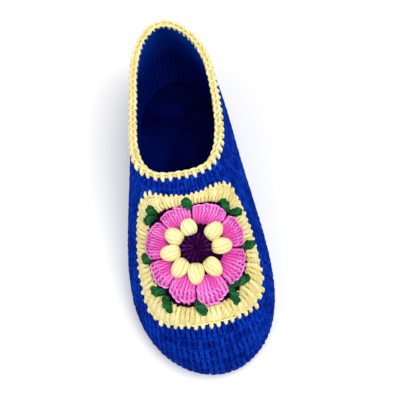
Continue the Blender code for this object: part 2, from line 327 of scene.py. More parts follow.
RIBS = (
    Rib(0.020, 0.000, 0.000, 0.015, 0.000, 0.000, 0.10, 0.000, -0.009, 0.028, 0.000, -0.005, 0.024),
    Rib(0.140, 0.305, 0.330, 0.120, 0.265, 0.230, 0.35, 0.006, -0.001, 0.025, 0.002, 0.000, 0.022),
    Rib(0.425, 0.390, 0.380, 0.285, 0.330, 0.305, 0.20, 0.008, 0.000, 0.025, 0.003, 0.004, 0.021),
    Rib(0.700, 0.485, 0.510, 0.465, 0.285, 0.325, 0.45, 0.008, 0.000, 0.023, 0.004, 0.014, 0.018),
    Rib(0.900, 0.380, 0.360, 0.535, 0.130, 0.155, 0.95, 0.006, 0.005, 0.026, 0.006, 0.041, 0.008),
    Rib(0.980, 0.025, -0.025, 0.540, 0.000, 0.000, 1.00, 0.000, 0.008, 0.030, 0.000, 0.051, 0.004),
)


@dataclass
class Last:
    """The frame's foot form: a rib on each side of every section and a smooth closed curve through them."""

    length: float = 0.245
    ball_width: float = 0.093
    heel_height: float = 0.074
    instep_height: float = 0.083
    wall: float = 0.003
    sole_thickness: float = 0.0045
    gap: float = 0.0003
    arch_lift: float = 0.002
    arch_from: float = 0.27
    arch_to: float = 0.60
    toe_spring: float = 0.005
    toe_spring_from: float = 0.84
    box_ribs: int = 60
    box_rows: int = 16
    ribs: tuple[Rib, ...] = RIBS
    rows: Array = field(init=False)
    heel_y: float = field(init=False, default=0.0)

    def __post_init__(self) -> None:
        """Works out the ribs' handles and puts the middle of the last's box over the origin."""
        outer = [self.rib_row(rib, -1) for rib in self.ribs]
        inner = [self.rib_row(rib, 1) for rib in self.ribs[1:-1]]
        self.rows = np.array(outer + inner[::-1])
        points = self.face(*grid(ring(self.box_ribs), np.linspace(0, 1, self.box_rows)))
        middle = (points.min(axis=(0, 1)) + points.max(axis=(0, 1))) / 2
        self.rows[:, 0::3] -= middle[0]
        self.rows[:, 1::3] -= middle[1]
        self.heel_y = -middle[1]

    def rib_row(self, rib: Rib, side: int) -> list[float]:
        """Works out the four handles of a rib.

        Args:
            rib: The rib's sizes.
            side: 1 for the big-toe side, -1 for the other.

        Returns:
            The handles' coordinates in one row, with the lower two as heights above the sole.
        """
        width = side * (rib.inner if side > 0 else rib.outer) * self.ball_width
        collar = side * (rib.collar_inner if side > 0 else rib.collar_outer) * self.ball_width
        at, collar_at = rib.at * self.length, rib.collar_at * self.length
        collar_z = self.heel_height + rib.rise * (self.instep_height - self.heel_height)
        return [
            width, -at, 0,
            width + side * rib.low_out, -at - rib.low_forward, rib.low_up,
            collar + side * rib.high_out, -collar_at - rib.high_forward, collar_z - rib.high_down,
            collar, -collar_at, collar_z,
        ]

    def sole_top(self, y: Array) -> Array:
        """Height of the sole's upper face.

        Heel and ball are flat, the arch is a squared half sine and the toe springs up with a square.

        Args:
            y: Places along the foot.

        Returns:
            The height at each place.
        """
        at = (self.heel_y - y) / self.length
        arch = np.clip((at - self.arch_from) / (self.arch_to - self.arch_from), 0, 1)
        toe = np.clip((at - self.toe_spring_from) / (1 - self.toe_spring_from), 0, 1)
        lift = self.arch_lift * np.sin(math.pi * arch) ** 2
        return self.sole_thickness + lift + self.toe_spring * toe ** 2

    def handles(self, u: Array) -> Array:
        """Rib handles round the foot, on a closed cubic spline with even speed through the ribs' rows.

        Args:
            u: Shares of the way round, from the heel along the little-toe side.

        Returns:
            Four handles for each share.
        """
        count = len(self.rows)
        each = np.eye(count)
        system = 4 * each + np.roll(each, 1, axis=1) + np.roll(each, -1, axis=1)
        steps = np.roll(self.rows, -1, axis=0) - np.roll(self.rows, 1, axis=0)
        slopes = np.linalg.solve(system, 3 * steps)
        start = np.floor(u * count).astype(int)
        t = (u * count - start)[..., None]
        a, b = start % count, (start + 1) % count
        rows = ((1 + 2 * t) * (1 - t) ** 2 * self.rows[a] + t * (1 - t) ** 2 * slopes[a]
                + t * t * (3 - 2 * t) * self.rows[b] + t * t * (t - 1) * slopes[b])
        handles = rows.reshape(*u.shape, 4, 3)
        foot = self.sole_top(handles[..., 0, 1]) + self.gap
        handles[..., 0, 2] += foot
        handles[..., 1, 2] += foot
        return handles

    def face(self, u: Array, v: Array) -> Array:
        """Outer face of the upper: v goes up each rib's cubic curve from the sole's edge to the collar."""
        return cubic(tuple(np.moveaxis(self.handles(u), -2, 0)), v[..., None])


class Face:
    """A surface that stitches lie on, with two parameters."""

    def at(self, a: Array, b: Array) -> tuple[Array, Array]:
        """Points and outward normals at the parameters a and b."""
        raise NotImplementedError

    def lifted(self, a: Array, b: Array, h: float | Array) -> Array:
        """Points that stand h proud of the surface."""
        points, normals = self.at(a, b)
        return points + normals * np.asarray(h)[..., None]

    def width(self, a: Array, b: Array, da: Array) -> Array:
        """Distance across a stitch that spans da round the parameter a."""
        return np.linalg.norm(self.at(a + da / 2, b)[0] - self.at(a - da / 2, b)[0], axis=-1)


@dataclass
class Wall(Face):
    """The upper's outer face: a is the share of the way round, b that of the way up, as measured."""

    last: Last
    columns: int = 480
    rows: int = 96
    measure: int = 4
    lengths: Array = field(init=False)
    points: Array = field(init=False)
    normals: Array = field(init=False)

    def __post_init__(self) -> None:
        """Measures the ribs of the last, and keeps points and normals at even steps up each."""
        u = ring(self.columns)
        v = np.linspace(0, 1, self.measure * self.rows + 1)
        run = run_along(self.last.face(*grid(u, v)))
        self.lengths = run[:, -1]
        shares = np.linspace(0, 1, self.rows + 1)
        even = np.stack([np.interp(shares, line / line[-1], v) for line in run])
        self.points = self.last.face(np.broadcast_to(u[:, None], even.shape), even)
        around = np.roll(self.points, -1, axis=0) - np.roll(self.points, 1, axis=0)
        self.normals = unit(np.cross(around, np.gradient(self.points, axis=1)))

    def at(self, a: Array, b: Array) -> tuple[Array, Array]:
        """Points and outward normals at shares round and up the wall."""
        i, j = a * self.columns, b * self.rows
        return bilinear(self.points, i, j, True), unit(bilinear(self.normals, i, j, True))

    def height(self, a: Array) -> Array:
        """Measured height of the wall."""
        places = np.arange(self.columns + 1) / self.columns
        return np.interp(np.mod(a, 1), places, np.append(self.lengths, self.lengths[0]))

    def even_columns(self, count: int, level: float) -> Array:
        """Shares round the foot of columns that are evenly spaced at a level, from the heel back to it."""
        u = np.linspace(0, 1, FINE)
        return even_edges(self.at(u, np.full_like(u, level))[0], u, count)


@dataclass
class VampSheet(Face):
    """The vamp as a flat sheet: a runs to the big-toe side and b up to the throat, from the flower."""

    wall: Wall
    half_p: float = 0.054
    length: float = 0.110
    steps: int = 81
    spine_points: int = 400
    first_rib: float = 0.2
    halvings: int = 30
    from_throat: float = 0.0445
    square_half_p: float = 0.0455
    square_half_q: float = 0.0440
    square_squareness: float = 8.0
    ground_half: float = 0.0350
    ground_squareness: float = 3.2
    row_squeeze: float = 0.93
    rear_crowding: float = 0.19
    side_taper: float = 0.15
    side_barrel: float = 0.20
    front_bow: float = 0.0025
    rear_bow: float = 0.0110
    outline_points: int = 720
    shares: Array = field(init=False)

    def __post_init__(self) -> None:
        """Lays straight rows across the foot, square to its middle line and measured along the surface."""
        down = np.linspace(1, 0, self.spine_points)
        spine, _ = self.wall.at(np.full_like(down, 0.5), down)
        places = np.linspace(0, self.length, self.steps)
        spine = np.stack([np.interp(places, run_along(spine), axis) for axis in spine.T], axis=1)
        rows = [self.row(*pair) for pair in zip(spine, unit(np.gradient(spine, axis=0)))]
        self.shares = np.stack(rows, axis=1)

    def row(self, centre: Array, forward: Array) -> Array:
        """Finds one row by halving: where each rib of the wall meets the plane through centre.

        Args:
            centre: The row's place on the middle line.
            forward: Direction of the middle line there.

        Returns:
            Shares round and up the wall at even distances from the centre.
        """
        u = np.linspace(self.first_rib, 1 - self.first_rib, self.steps)
        low, high = np.zeros(self.steps), np.ones(self.steps)
        for _ in range(self.halvings):
            middle = (low + high) / 2
            ahead = (self.wall.at(u, middle)[0] - centre) @ forward > 0
            low, high = np.where(ahead, middle, low), np.where(ahead, high, middle)
        run = run_along(self.wall.at(u, low)[0])
        run -= run[self.steps // 2]
        across = np.linspace(-self.half_p, self.half_p, self.steps)
        return np.stack([np.interp(across, run, u), np.interp(across, run, low)], axis=1)

    def on_wall(self, p: Array, q: Array) -> tuple[Array, Array]:
        """Draws the square to the foot.

        Its rows crowd towards the throat and bow back with the square of p at both ends, and its sides draw
        in towards the throat and bulge at the middle.

        Args:
            p: Distances to the big-toe side.
            q: Distances up to the throat.

        Returns:
            Shares round and up the wall.
        """
        rear = q / self.square_half_q
        bow = self.front_bow + (self.rear_bow - self.front_bow) * (rear + 1) / 2
        q = self.row_squeeze * (q - self.rear_crowding * q * rear) + bow * (p / self.square_half_p) ** 2
        p = p * (1 - self.side_taper * rear - self.side_barrel * rear ** 2)
        i = (p / self.half_p + 1) / 2 * (self.steps - 1)
        j = (self.from_throat - q) / self.length * (self.steps - 1)
        return tuple(np.moveaxis(bilinear(self.shares, i, j), -1, 0))

    def at(self, a: Array, b: Array) -> tuple[Array, Array]:
        """Points and outward normals at distances from the flower's middle."""
        return self.wall.at(*self.on_wall(a, b))

    def outline(self, angle: Array, half_p: float, half_q: float, squareness: float) -> Array:
        """Outline of a rounded square, whose reach is the superellipse's.

        Args:
            angle: Directions from the middle.
            half_p: Half of its width.
            half_q: Half of its height.
            squareness: Power of the superellipse.

        Returns:
            Places on the sheet.
        """
        c, s = np.cos(angle), np.sin(angle)
        reach = (np.abs(c / half_p) ** squareness + np.abs(s / half_q) ** squareness) ** (-1 / squareness)
        return np.stack([reach * c, reach * s])

    def square(self, angle: Array, grow: float = 0.0) -> Array:
        """Outline of the whole flower square."""
        half_p, half_q = self.square_half_p + grow, self.square_half_q + grow
        return self.outline(angle, half_p, half_q, self.square_squareness)

    def ground(self, angle: Array) -> Array:
        """Outline of the dark ground inside the border."""
        return self.outline(angle, self.ground_half, self.ground_half, self.ground_squareness)

    def covered(self, u: Array, grow: float) -> tuple[Array, Array]:
        """Lowest and highest share of each wall column that the square covers.

        Args:
            u: Shares round the foot of the columns.
            grow: How far beyond the square's outline to stay.

        Returns:
            Where each column goes in and comes out, both endless where it misses the square.
        """
        a, b = self.on_wall(*self.square(TURN * ring(self.outline_points), grow))
        next_a, next_b = np.roll(a, -1), np.roll(b, -1)
        crosses = (a - u[:, None]) * (next_a - u[:, None]) <= 0
        place = b + (next_b - b) * (u[:, None] - a) / np.where(next_a == a, 1, next_a - a)
        low = np.where(crosses, place, np.inf).min(axis=1)
        high = np.where(crosses, place, -np.inf).max(axis=1)
        return low, np.where(np.isfinite(low), high, np.inf)


@dataclass(frozen=True)
class Strand:
    """One strand of a stitch, as a cubic curve in the stitch's own box.

    Attributes:
        across: Four handles in stitch widths, from the middle of the box.
        up: Four handles in stitch heights, from the foot of the box.
        lift: Four handles in stitch widths, away from the fabric.
        thick: Radius at the start, the middle and the end, in stitch widths.
        fade: Share of its lightness that the strand loses towards its start.
    """

    across: Handles
    up: Handles
    lift: Handles
    thick: tuple[float, float, float]
    fade: float = 0.0

    def mirrored(self) -> "Strand":
        """The same strand on the other side of the stitch."""
        return replace(self, across=tuple(-x for x in self.across))

    def radius(self, t: Array) -> Array:
        """Radius along the strand: straight from start to end, swelling with a half sine to the middle."""
        start, middle, end = self.thick
        return start + (end - start) * t + (middle - (start + end) / 2) * np.sin(math.pi * t) ** SWELL_POWER


V_LEG = Strand((-0.02, -0.12, -0.24, -0.20), (-0.25, 0.10, 0.60, 1.15),
               (-0.42, 0.00, 0.04, -0.36), (0.13, 0.24, 0.13))
V_STITCH = (V_LEG, V_LEG.mirrored())


@dataclass
class Hook:
    """Works stitches into a face, a little unevenly as by hand, from a fixed seed."""

    random: np.random.Generator = field(default_factory=lambda: np.random.default_rng(SEED))

    def work(self, face: Face, a: Array, b: float | Array, da: float | Array, db: float | Array,
             strands: Iterable[Strand], steps: int = 6, sides: int = 6, uneven: float = 0.05,
             tones: tuple[float, float] = (0.35, 0.85)) -> Surface:
        """Carries the strands of one stitch to every place of a pattern.

        Args:
            face: The surface that is worked.
            a: Middle of each stitch along the face's first parameter.
            b: Foot of each stitch along the face's second parameter.
            da: Width of each stitch in the first parameter.
            db: Height of each stitch in the second parameter.
            strands: What one stitch consists of.
            steps: Rings along a strand.
            sides: Facets round a strand.
            uneven: How far places and radii stray, in stitch sizes.
            tones: Darkest and lightest yarn.

        Returns:
            All stitches as one surface.
        """
        a, b, da, db = np.broadcast_arrays(a, b, da, db)
        width = face.width(a, b + db / 2, da)[:, None]
        t = np.linspace(0, 1, steps)
        made = []
        for strand in strands:
            stray = self.random.uniform(-uneven, uneven, (4, len(a), 1))
            across = a[:, None] + da[:, None] * (cubic(strand.across, t) + stray[0])
            up = b[:, None] + db[:, None] * (cubic(strand.up, t) + stray[1])
            points, normals = face.at(across, up)
            points = points + normals * (width * (cubic(strand.lift, t) + stray[2] / 2))[..., None]
            radii = width * strand.radius(t) * (1 + stray[3])
            light = self.random.uniform(*tones, (len(a), 1)) * (1 - strand.fade * (1 - t))
            made.append(tubes(points, normals, radii, light, sides))
        return Surface.joined(made)


class YarnSlot(Enum):
    """Material slots of the yarns."""

    BLUE = "blue_yarn"
    YELLOW = "yellow_yarn"
    PINK = "pink_yarn"
    GREEN = "green_yarn"
    PURPLE = "purple_yarn"


@dataclass(frozen=True)
class Yarn:
    """Finish of one yarn: its colours in painted shadow in the fabric, on its flanks and lit on top, its
    sheen and bump.
    """

    slot: YarnSlot
    deep: Colour
    flank: Colour
    bright: Colour
    sheen: float = 0.10
    bump: float = 0.40


# Each yarn's slot, its colour in painted shadow, on its flanks and lit on top, and its sheen
YARNS = (
    Yarn(YarnSlot.BLUE, (0.0002, 0.0006, 0.032), (0.0010, 0.0140, 0.235), (0.004, 0.080, 0.62), 0.0),
    Yarn(YarnSlot.YELLOW, (0.34, 0.24, 0.060), (0.70, 0.59, 0.235), (0.88, 0.84, 0.50)),
    Yarn(YarnSlot.PINK, (0.42, 0.020, 0.21), (0.63, 0.055, 0.34), (0.87, 0.30, 0.76)),
    Yarn(YarnSlot.GREEN, (0.001, 0.010, 0.002), (0.004, 0.040, 0.010), (0.018, 0.135, 0.042), 0.0),
    Yarn(YarnSlot.PURPLE, (0.0025, 0.0002, 0.004), (0.016, 0.001, 0.024), (0.085, 0.008, 0.110), 0.0),
)


@dataclass
class Wiring:
    """Adds shader nodes to one tree and links them."""

    tree: bpy.types.ShaderNodeTree

    def feed(self, node: bpy.types.ShaderNode, inputs: dict[str | int, object]) -> None:
        """Links or sets a node's inputs.

        Args:
            node: The node.
            inputs: For each input, the socket that is linked to it or its plain value.
        """
        for name, value in inputs.items():
            if isinstance(value, bpy.types.NodeSocket):
                self.tree.links.new(value, node.inputs[name])
            else:
                node.inputs[name].default_value = value

    def add(self, kind: str, inputs: dict[str | int, object], **settings: object) -> bpy.types.ShaderNode:
        """Adds a node.

        Args:
            kind: The node's type.
            inputs: What its inputs are fed with.
            settings: Its other properties.

        Returns:
            The node.
        """
        node = self.tree.nodes.new(kind)
        for name, value in settings.items():
            setattr(node, name, value)
        self.feed(node, inputs)
        return node

    def maths(self, operation: str, *values: object) -> bpy.types.NodeSocket:
        """Result of a new maths node over sockets or plain values."""
        return self.add("ShaderNodeMath", dict(enumerate(values)), operation=operation).outputs[0]

    def noise(self, place: bpy.types.NodeSocket, scale: float, detail: float) -> bpy.types.NodeSocket:
        """Result of a new noise node at a place."""
        inputs = {"Vector": place, "Scale": scale, "Detail": detail}
        return self.add("ShaderNodeTexNoise", inputs).outputs["Fac"]


@dataclass
class YarnLook:
    """Builds the yarns' materials round one shared node group of plies and fuzz."""

    plies: float = 3.0
    fibre_scale: float = 1500.0
    fibre_detail: float = 3.0
    cloud_scale: float = 55.0
    cloud_detail: float = 2.0
    tone_share: float = 0.75
    ply_share: float = 0.20
    fibre_share: float = 0.16
    cloud_share: float = 0.30
    pattern_middle: float = 0.4
    ply_height: float = 0.7
    fibre_height: float = 0.5
    roughness: float = 0.65
    fibre_roughness: float = 0.25
    flank_at: float = 0.40
    specular: float = 0.01
    sheen_roughness: float = 0.45
    bump_depth: float = 0.4 * MM
    materials: dict[YarnSlot, bpy.types.Material] = field(init=False)

    def __post_init__(self) -> None:
        """Builds the node group, then a material for every yarn."""
        group = self.plies_group()
        self.materials = {yarn.slot: self.material(yarn, group) for yarn in YARNS}

    def plies_group(self) -> bpy.types.ShaderNodeTree:
        """Shade, height and roughness of twisted yarn: a sine over the plies' phase, fibre noise and clouds.

        Returns:
            The node group.
        """
        group = bpy.data.node_groups.new("yarn_plies", "ShaderNodeTree")
        vector, number = "NodeSocketVector", "NodeSocketFloat"
        for name, kind in (("Yarn", vector), ("Place", vector), ("Tone", number)):
            group.interface.new_socket(name, in_out="INPUT", socket_type=kind)
        for name in ("Shade", "Height", "Roughness"):
            group.interface.new_socket(name, in_out="OUTPUT", socket_type=number)
        wires = Wiring(group)
        maths = wires.maths
        given = wires.add("NodeGroupInput", {}).outputs
        yarn = wires.add("ShaderNodeSeparateXYZ", {0: given["Yarn"]}).outputs
        fibre = wires.noise(given["Place"], self.fibre_scale, self.fibre_detail)
        cloud = wires.noise(given["Place"], self.cloud_scale, self.cloud_detail)
        phase = maths("MULTIPLY", maths("MULTIPLY_ADD", yarn["Y"], self.plies, yarn["X"]), TURN)
        ply = maths("MULTIPLY_ADD", maths("SINE", phase), 0.5, 0.5)
        shade = maths("MULTIPLY", given["Tone"], self.tone_share)
        for part, share in ((ply, self.ply_share), (fibre, self.fibre_share), (cloud, self.cloud_share)):
            change = maths("MULTIPLY", maths("SUBTRACT", part, self.pattern_middle), share)
            shade = maths("ADD", shade, change)
        shade.node.use_clamp = True
        fibres = maths("MULTIPLY", fibre, self.fibre_height)
        wires.add("NodeGroupOutput", {
            "Shade": shade,
            "Height": maths("ADD", maths("MULTIPLY", ply, self.ply_height), fibres),
            "Roughness": maths("ADD", maths("MULTIPLY", fibre, self.fibre_roughness), self.roughness),
        })
        return group

    def material(self, yarn: Yarn, group: bpy.types.ShaderNodeTree) -> bpy.types.Material:
        """Principled yarn: the group's shade runs from the painted shadow colour over flank to bright, its
        height feeds a bump.

        Args:
            yarn: The finish.
            group: The shared group of plies and fuzz.

        Returns:
            The material.
        """
        made = bpy.data.materials.new(yarn.slot.value)
        made.use_nodes = True
        made.diffuse_color = (*yarn.bright, 1)
        wires = Wiring(made.node_tree)
        look = wires.add("ShaderNodeGroup", {}, node_tree=group)
        wires.feed(look, {
            "Yarn": wires.add("ShaderNodeUVMap", {}, uv_map="yarn").outputs["UV"],
            "Place": wires.add("ShaderNodeTexCoord", {}).outputs["Object"],
            "Tone": wires.add("ShaderNodeAttribute", {}, attribute_name="tone").outputs["Fac"],
        })
        # The ramp paints shade: the shadow colour where the shade is lowest, the bright colour on lit tops
        colours = wires.add("ShaderNodeValToRGB", {"Fac": look.outputs["Shade"]})
        ramp = colours.color_ramp.elements
        ramp.new(self.flank_at)
        for stop, colour in zip(ramp, (yarn.deep, yarn.flank, yarn.bright)):
            stop.color = (*colour, 1)
        relief = {"Height": look.outputs["Height"], "Strength": yarn.bump, "Distance": self.bump_depth}
        wires.feed(made.node_tree.nodes["Principled BSDF"], {
            "Base Color": colours.outputs["Color"],
            "Roughness": look.outputs["Roughness"],
            "Normal": wires.add("ShaderNodeBump", relief).outputs["Normal"],
            "Specular IOR Level": self.specular,
            "Sheen Weight": yarn.sheen,
            "Sheen Roughness": self.sheen_roughness,
            "Sheen Tint": (*yarn.bright, 1),
        })
        return made


@dataclass
class Workshop:
    """What every piece is made from: the faces of the foot, the hook and the yarns."""

    last: Last
    wall: Wall
    sheet: VampSheet
    hook: Hook
    look: YarnLook
    pieces: int = 0

    def show(self, name: str, slot: YarnSlot, surfaces: Iterable[Surface], *nodes: str) -> None:
        """Puts a finished piece into the scene.

        Args:
            name: The piece's name.
            slot: The yarn that it is hooked in.
            surfaces: Its closed surfaces.
            nodes: The frame's solids that it stands for.
        """
        surface = Surface.joined(surfaces)
        piece = bpy.data.objects.new(name, surface.mesh(name))
        bpy.context.scene.collection.objects.link(piece)
        piece.data.materials.append(self.look.materials[slot])
        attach(piece, BODY)
        if nodes:
            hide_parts(*nodes)
        self.pieces += 1
        log.info("%s: %d triangles", name, surface.count())


@dataclass
class SubAssembly:
    """A part of the slipper that is made in the workshop."""

    shop: Workshop

    def build(self) -> None:
        """Makes all pieces of the sub-assembly."""
        raise NotImplementedError


@dataclass
class Upper(SubAssembly):
    """The blue hooked wall: a backing shell, ribbed inside, with ribs of stitches and rows round the toe."""

    columns: int = 114
    column_level: float = 0.4
    stitch_height: float = 4.6 * MM
    toe_rows: int = 6
    toe_columns: float = 1.2
    throat_columns: float = 0.62
    throat_stitch: float = 5.0 * MM
    square_clear: float = 0.8 * MM
    backing_depth: float = 1.0 * MM
    backing_nodes: int = 8
    backing_rows: int = 48
    # Painted shade: the backing's outer face under the stitches is dark; inside, dark at the foot, lighter
    # towards the collar and with the ripple
    backing_shade_tone: float = 0.22
    inside_ripple: float = 0.45 * MM
    inside_row_ripple: float = 0.3
    inside_foot_shade: float = 0.26
    inside_collar_tone: float = 0.80
    inside_ripple_shade: float = 0.15
    sunk: float = 1.5 * MM
    post: tuple[Strand, ...] = (
        Strand((0.14, 0.26, -0.18, -0.14), (-0.12, 0.25, 0.55, 0.90),
               (-0.34, -0.10, -0.08, -0.22), (0.28, 0.35, 0.28)),
        Strand((-0.30, -0.34, 0.30, 0.32), (-0.10, 0.20, 0.55, 0.88),
               (-0.36, -0.16, -0.14, -0.26), (0.26, 0.33, 0.26)),
        Strand((-0.60, -0.20, 0.20, 0.56), (0.76, 0.78, 0.86, 0.90),
               (-0.24, 0.04, 0.06, -0.22), (0.13, 0.19, 0.13)),
        Strand((-0.54, -0.15, 0.25, 0.60), (0.96, 0.98, 0.92, 0.86),
               (-0.26, 0.00, 0.02, -0.26), (0.12, 0.18, 0.12)),
    )

    def build(self) -> None:
        """Builds the backing, the ribs of both sides, the toe rows and the wider throat rows."""
        wall, show = self.shop.wall, self.shop.show
        edges = wall.even_columns(self.columns, self.column_level)
        show("upper_backing", YarnSlot.BLUE, [self.backing(edges)], "upper")
        middle, width = spans(edges)
        low, high = self.shop.sheet.covered(middle, self.square_clear)
        missed = ~np.isfinite(low)
        for name, side in (("outer_side_ribs", middle < 0.5), ("inner_side_ribs", middle >= 0.5)):
            u, du = middle[missed & side], width[missed & side]
            count = np.rint(wall.height(u) / self.stitch_height).astype(int)
            show(name, YarnSlot.BLUE, [self.stack(u, du, 0.0, 1.0, count, V_STITCH)])
        crossed = middle[~missed], width[~missed]
        u, du, end = self.recut(*crossed, low[~missed], self.toe_columns)
        show("toe_rows", YarnSlot.BLUE, [self.stack(u, du, 0.0, end, self.toe_rows, self.post)])
        u, du, start = self.recut(*crossed, high[~missed], self.throat_columns)
        count = np.maximum(np.rint((1 - start) * wall.height(u) / self.throat_stitch), 1).astype(int)
        show("throat_rows", YarnSlot.BLUE, [self.stack(u, du, start, 1.0, count, self.post)])

    def backing(self, edges: Array) -> Surface:
        """Closed shell just under the stitches, sunk into the sole; its inner face ripples with a cosine.

        Args:
            edges: Shares round the foot between the columns of stitches.

        Returns:
            The shell, dark with painted shade under the stitches; inside, its painted shade lightens towards
            the collar and follows the ripple.
        """
        wall = self.shop.wall
        a, b = grid(ring(self.backing_nodes * self.columns), np.linspace(0, 1, self.backing_rows + 1))
        rib = np.cos(TURN * np.interp(a, edges, np.arange(self.columns + 1)))
        row = np.cos(TURN * b * wall.height(a) / self.stitch_height)
        ripple = self.inside_ripple * rib * (1 + self.inside_row_ripple * row)
        outside = wall.lifted(a, b, -self.backing_depth)
        inside = wall.lifted(a, b, ripple - self.shop.last.wall)
        outside[:, 0, 2] -= self.sunk
        inside[:, 0, 2] -= self.sunk
        # Painted shade inside the shoe: dark at the foot, lighter towards the collar, in step with the
        # ripple
        light = self.inside_ripple_shade * rib + self.inside_foot_shade + self.inside_collar_tone * b ** 2
        return slab(outside, inside, self.backing_shade_tone, light)

    def stack(self, u: Array, du: Array, start: float | Array, end: float | Array, count: int | Array,
              strands: Iterable[Strand]) -> Surface:
        """Columns of stacked stitches.

        Args:
            u: Middles of the columns, as shares round the foot.
            du: Their widths.
            start: Share of the wall at which each begins.
            end: Share of the wall at which each ends.
            count: Number of stitches in each.
            strands: What one stitch consists of.

        Returns:
            All stitches.
        """
        start, end, count = (np.broadcast_to(each, u.shape) for each in (start, end, count))
        column = np.repeat(np.arange(len(u)), count)
        number = np.arange(len(column)) - np.repeat(np.cumsum(count) - count, count)
        step = ((end - start) / count)[column]
        b = start[column] + number * step
        return self.shop.hook.work(self.shop.wall, u[column], b, du[column], step, strands)

    def recut(self, u: Array, du: Array, level: Array, share: float) -> tuple[Array, Array, Array]:
        """Spaces columns evenly over the same stretch.

        Args:
            u: Middles of the old columns.
            du: Their widths.
            level: A share of the wall for each.
            share: Number of the new columns against the old.

        Returns:
            Middles, widths and levels of the new columns.
        """
        middle, width = spans(np.linspace(u[0] - du[0] / 2, u[-1] + du[-1] / 2, round(share * len(u)) + 1))
        return middle, width, np.interp(middle, u, level)


@dataclass
class Underside(Face):
    """The sole's lower face: a and b are x and y, lift is its height above the sole's lowest points."""

    last: Last
    lift: float

    def at(self, a: Array, b: Array) -> tuple[Array, Array]:
        """Points of the lower face, which look down."""
        z = self.last.sole_top(b) - self.last.sole_thickness + self.lift
        return np.stack([a, b, z], axis=-1), np.broadcast_to((0.0, 0.0, -1.0), (*a.shape, 3))


@dataclass
class SoleEdge(Face):
    """The sole's upright edge: a is the share of the way round, b the share of its height."""

    last: Last
    step: float = 1e-4

    def foot(self, a: Array) -> Array:
        """The wall's lower edge."""
        return self.last.handles(np.mod(a, 1))[..., 0, :]

    def at(self, a: Array, b: Array) -> tuple[Array, Array]:
        """Points straight below the wall's edge, with level normals square to the outline.

        Args:
            a: Shares of the way round.
            b: Shares of the height.

        Returns:
            Points and outward normals.
        """
        along = unit(self.foot(a + self.step) - self.foot(a - self.step))
        out = np.stack([along[..., 1], -along[..., 0], np.zeros_like(along[..., 0])], axis=-1)
        height = (b - 1) * self.last.sole_thickness - self.last.gap
        return self.foot(a) + height[..., None] * np.array([0.0, 0.0, 1.0]), unit(out)


@dataclass
class Sole(SubAssembly):
    """The hooked sole: a core, V stitches underneath and a row of them round its edge."""

    spine_from: float = 0.13
    spine_to: float = 0.82
    spokes: int = 240
    rings: int = 49
    hub: float = 0.002
    half_width: float = 0.045
    core_inset: float = 1.0 * MM
    core_lift: float = 1.9 * MM
    # Painted shade: the core's upper face, the shoe's inside floor, takes the darkest tone; its lower face
    # under the stitches is dark too
    core_shade_tone: float = 0.0
    core_under_tone: float = 0.15
    ripple: float = 0.4 * MM
    rib_width: float = 5.4 * MM
    stitch_height: float = 5.2 * MM
    stitch_lift: float = 1.25 * MM
    side_columns: int = 8
    column_shift: float = 0.3
    margin: float = 0.40
    outline_points: int = 720
    edge_stitches: int = 108
    edge_from: float = 0.20
    edge_leg: Strand = replace(V_LEG, up=(0.0, 0.25, 0.60, 1.15), lift=(-0.42, -0.12, -0.10, -0.36))

    def build(self) -> None:
        """Builds the core, the underside and the edge."""
        self.shop.show("sole_core", YarnSlot.BLUE, [self.core()], "sole")
        self.shop.show("sole_underside", YarnSlot.BLUE, [self.underside()])
        self.shop.show("sole_edge_row", YarnSlot.BLUE, [self.edge()])

    def core(self) -> Surface:
        """Spokes run from the sole's middle line to its edge; the upper face ripples with a cosine across.

        Returns:
            The core.
        """
        last = self.shop.last
        u, share = grid(ring(self.spokes), np.linspace(self.hub, 1, self.rings))
        edge = last.handles(u)[..., 0, :]
        towards_toe = (1 - np.cos(TURN * u)) / 2
        spine = self.spine_from + (self.spine_to - self.spine_from) * towards_toe
        spine_y = last.heel_y - spine * last.length
        reach = share * (1 - self.core_inset / self.half_width)
        x, y = edge[..., 0] * reach, spine_y + (edge[..., 1] - spine_y) * reach
        top = last.sole_top(y) - self.ripple * (1 + np.cos(TURN * x / self.rib_width)) / 2
        bottom = last.sole_top(y) - last.sole_thickness + self.core_lift
        # Painted shade: darkest tone on the inside floor, dark under the stitches
        return slab(np.stack([x, y, top], axis=-1), np.stack([x, y, bottom], axis=-1),
                    self.core_shade_tone, self.core_under_tone)

    def underside(self) -> Surface:
        """Straight columns of V stitches along the foot, each with both ends inside the outline.

        Returns:
            All stitches.
        """
        u = np.linspace(0, 1, self.outline_points + 1)
        edge = self.shop.last.handles(u)[:, 0, :2]
        columns = np.arange(-self.side_columns, self.side_columns + 1) + self.column_shift
        rows = np.arange(edge[:, 1].min(), edge[:, 1].max(), self.stitch_height)
        x, y = (places.ravel() for places in grid(columns * self.rib_width, rows))
        ends = np.stack([y, y + self.stitch_height])
        left, right = edge[u <= 0.5], edge[u >= 0.5]
        low = np.interp(-ends, -left[:, 1], left[:, 0]).max(axis=0) + self.margin * self.rib_width
        high = np.interp(ends, right[:, 1], right[:, 0]).min(axis=0) - self.margin * self.rib_width
        inside = (x > low) & (x < high)
        face = Underside(self.shop.last, self.stitch_lift)
        return self.shop.hook.work(face, x[inside], y[inside], self.rib_width, self.stitch_height, V_STITCH,
                                   steps=5, sides=5)

    def edge(self) -> Surface:
        """One row of V stitches round the sole, evenly spaced.

        Returns:
            All stitches.
        """
        u = np.linspace(0, 1, FINE)
        middle, width = spans(even_edges(self.shop.last.handles(u)[:, 0], u, self.edge_stitches))
        face, legs = SoleEdge(self.shop.last), (self.edge_leg, self.edge_leg.mirrored())
        return self.shop.hook.work(face, middle, self.edge_from, width, 1 - self.edge_from, legs)


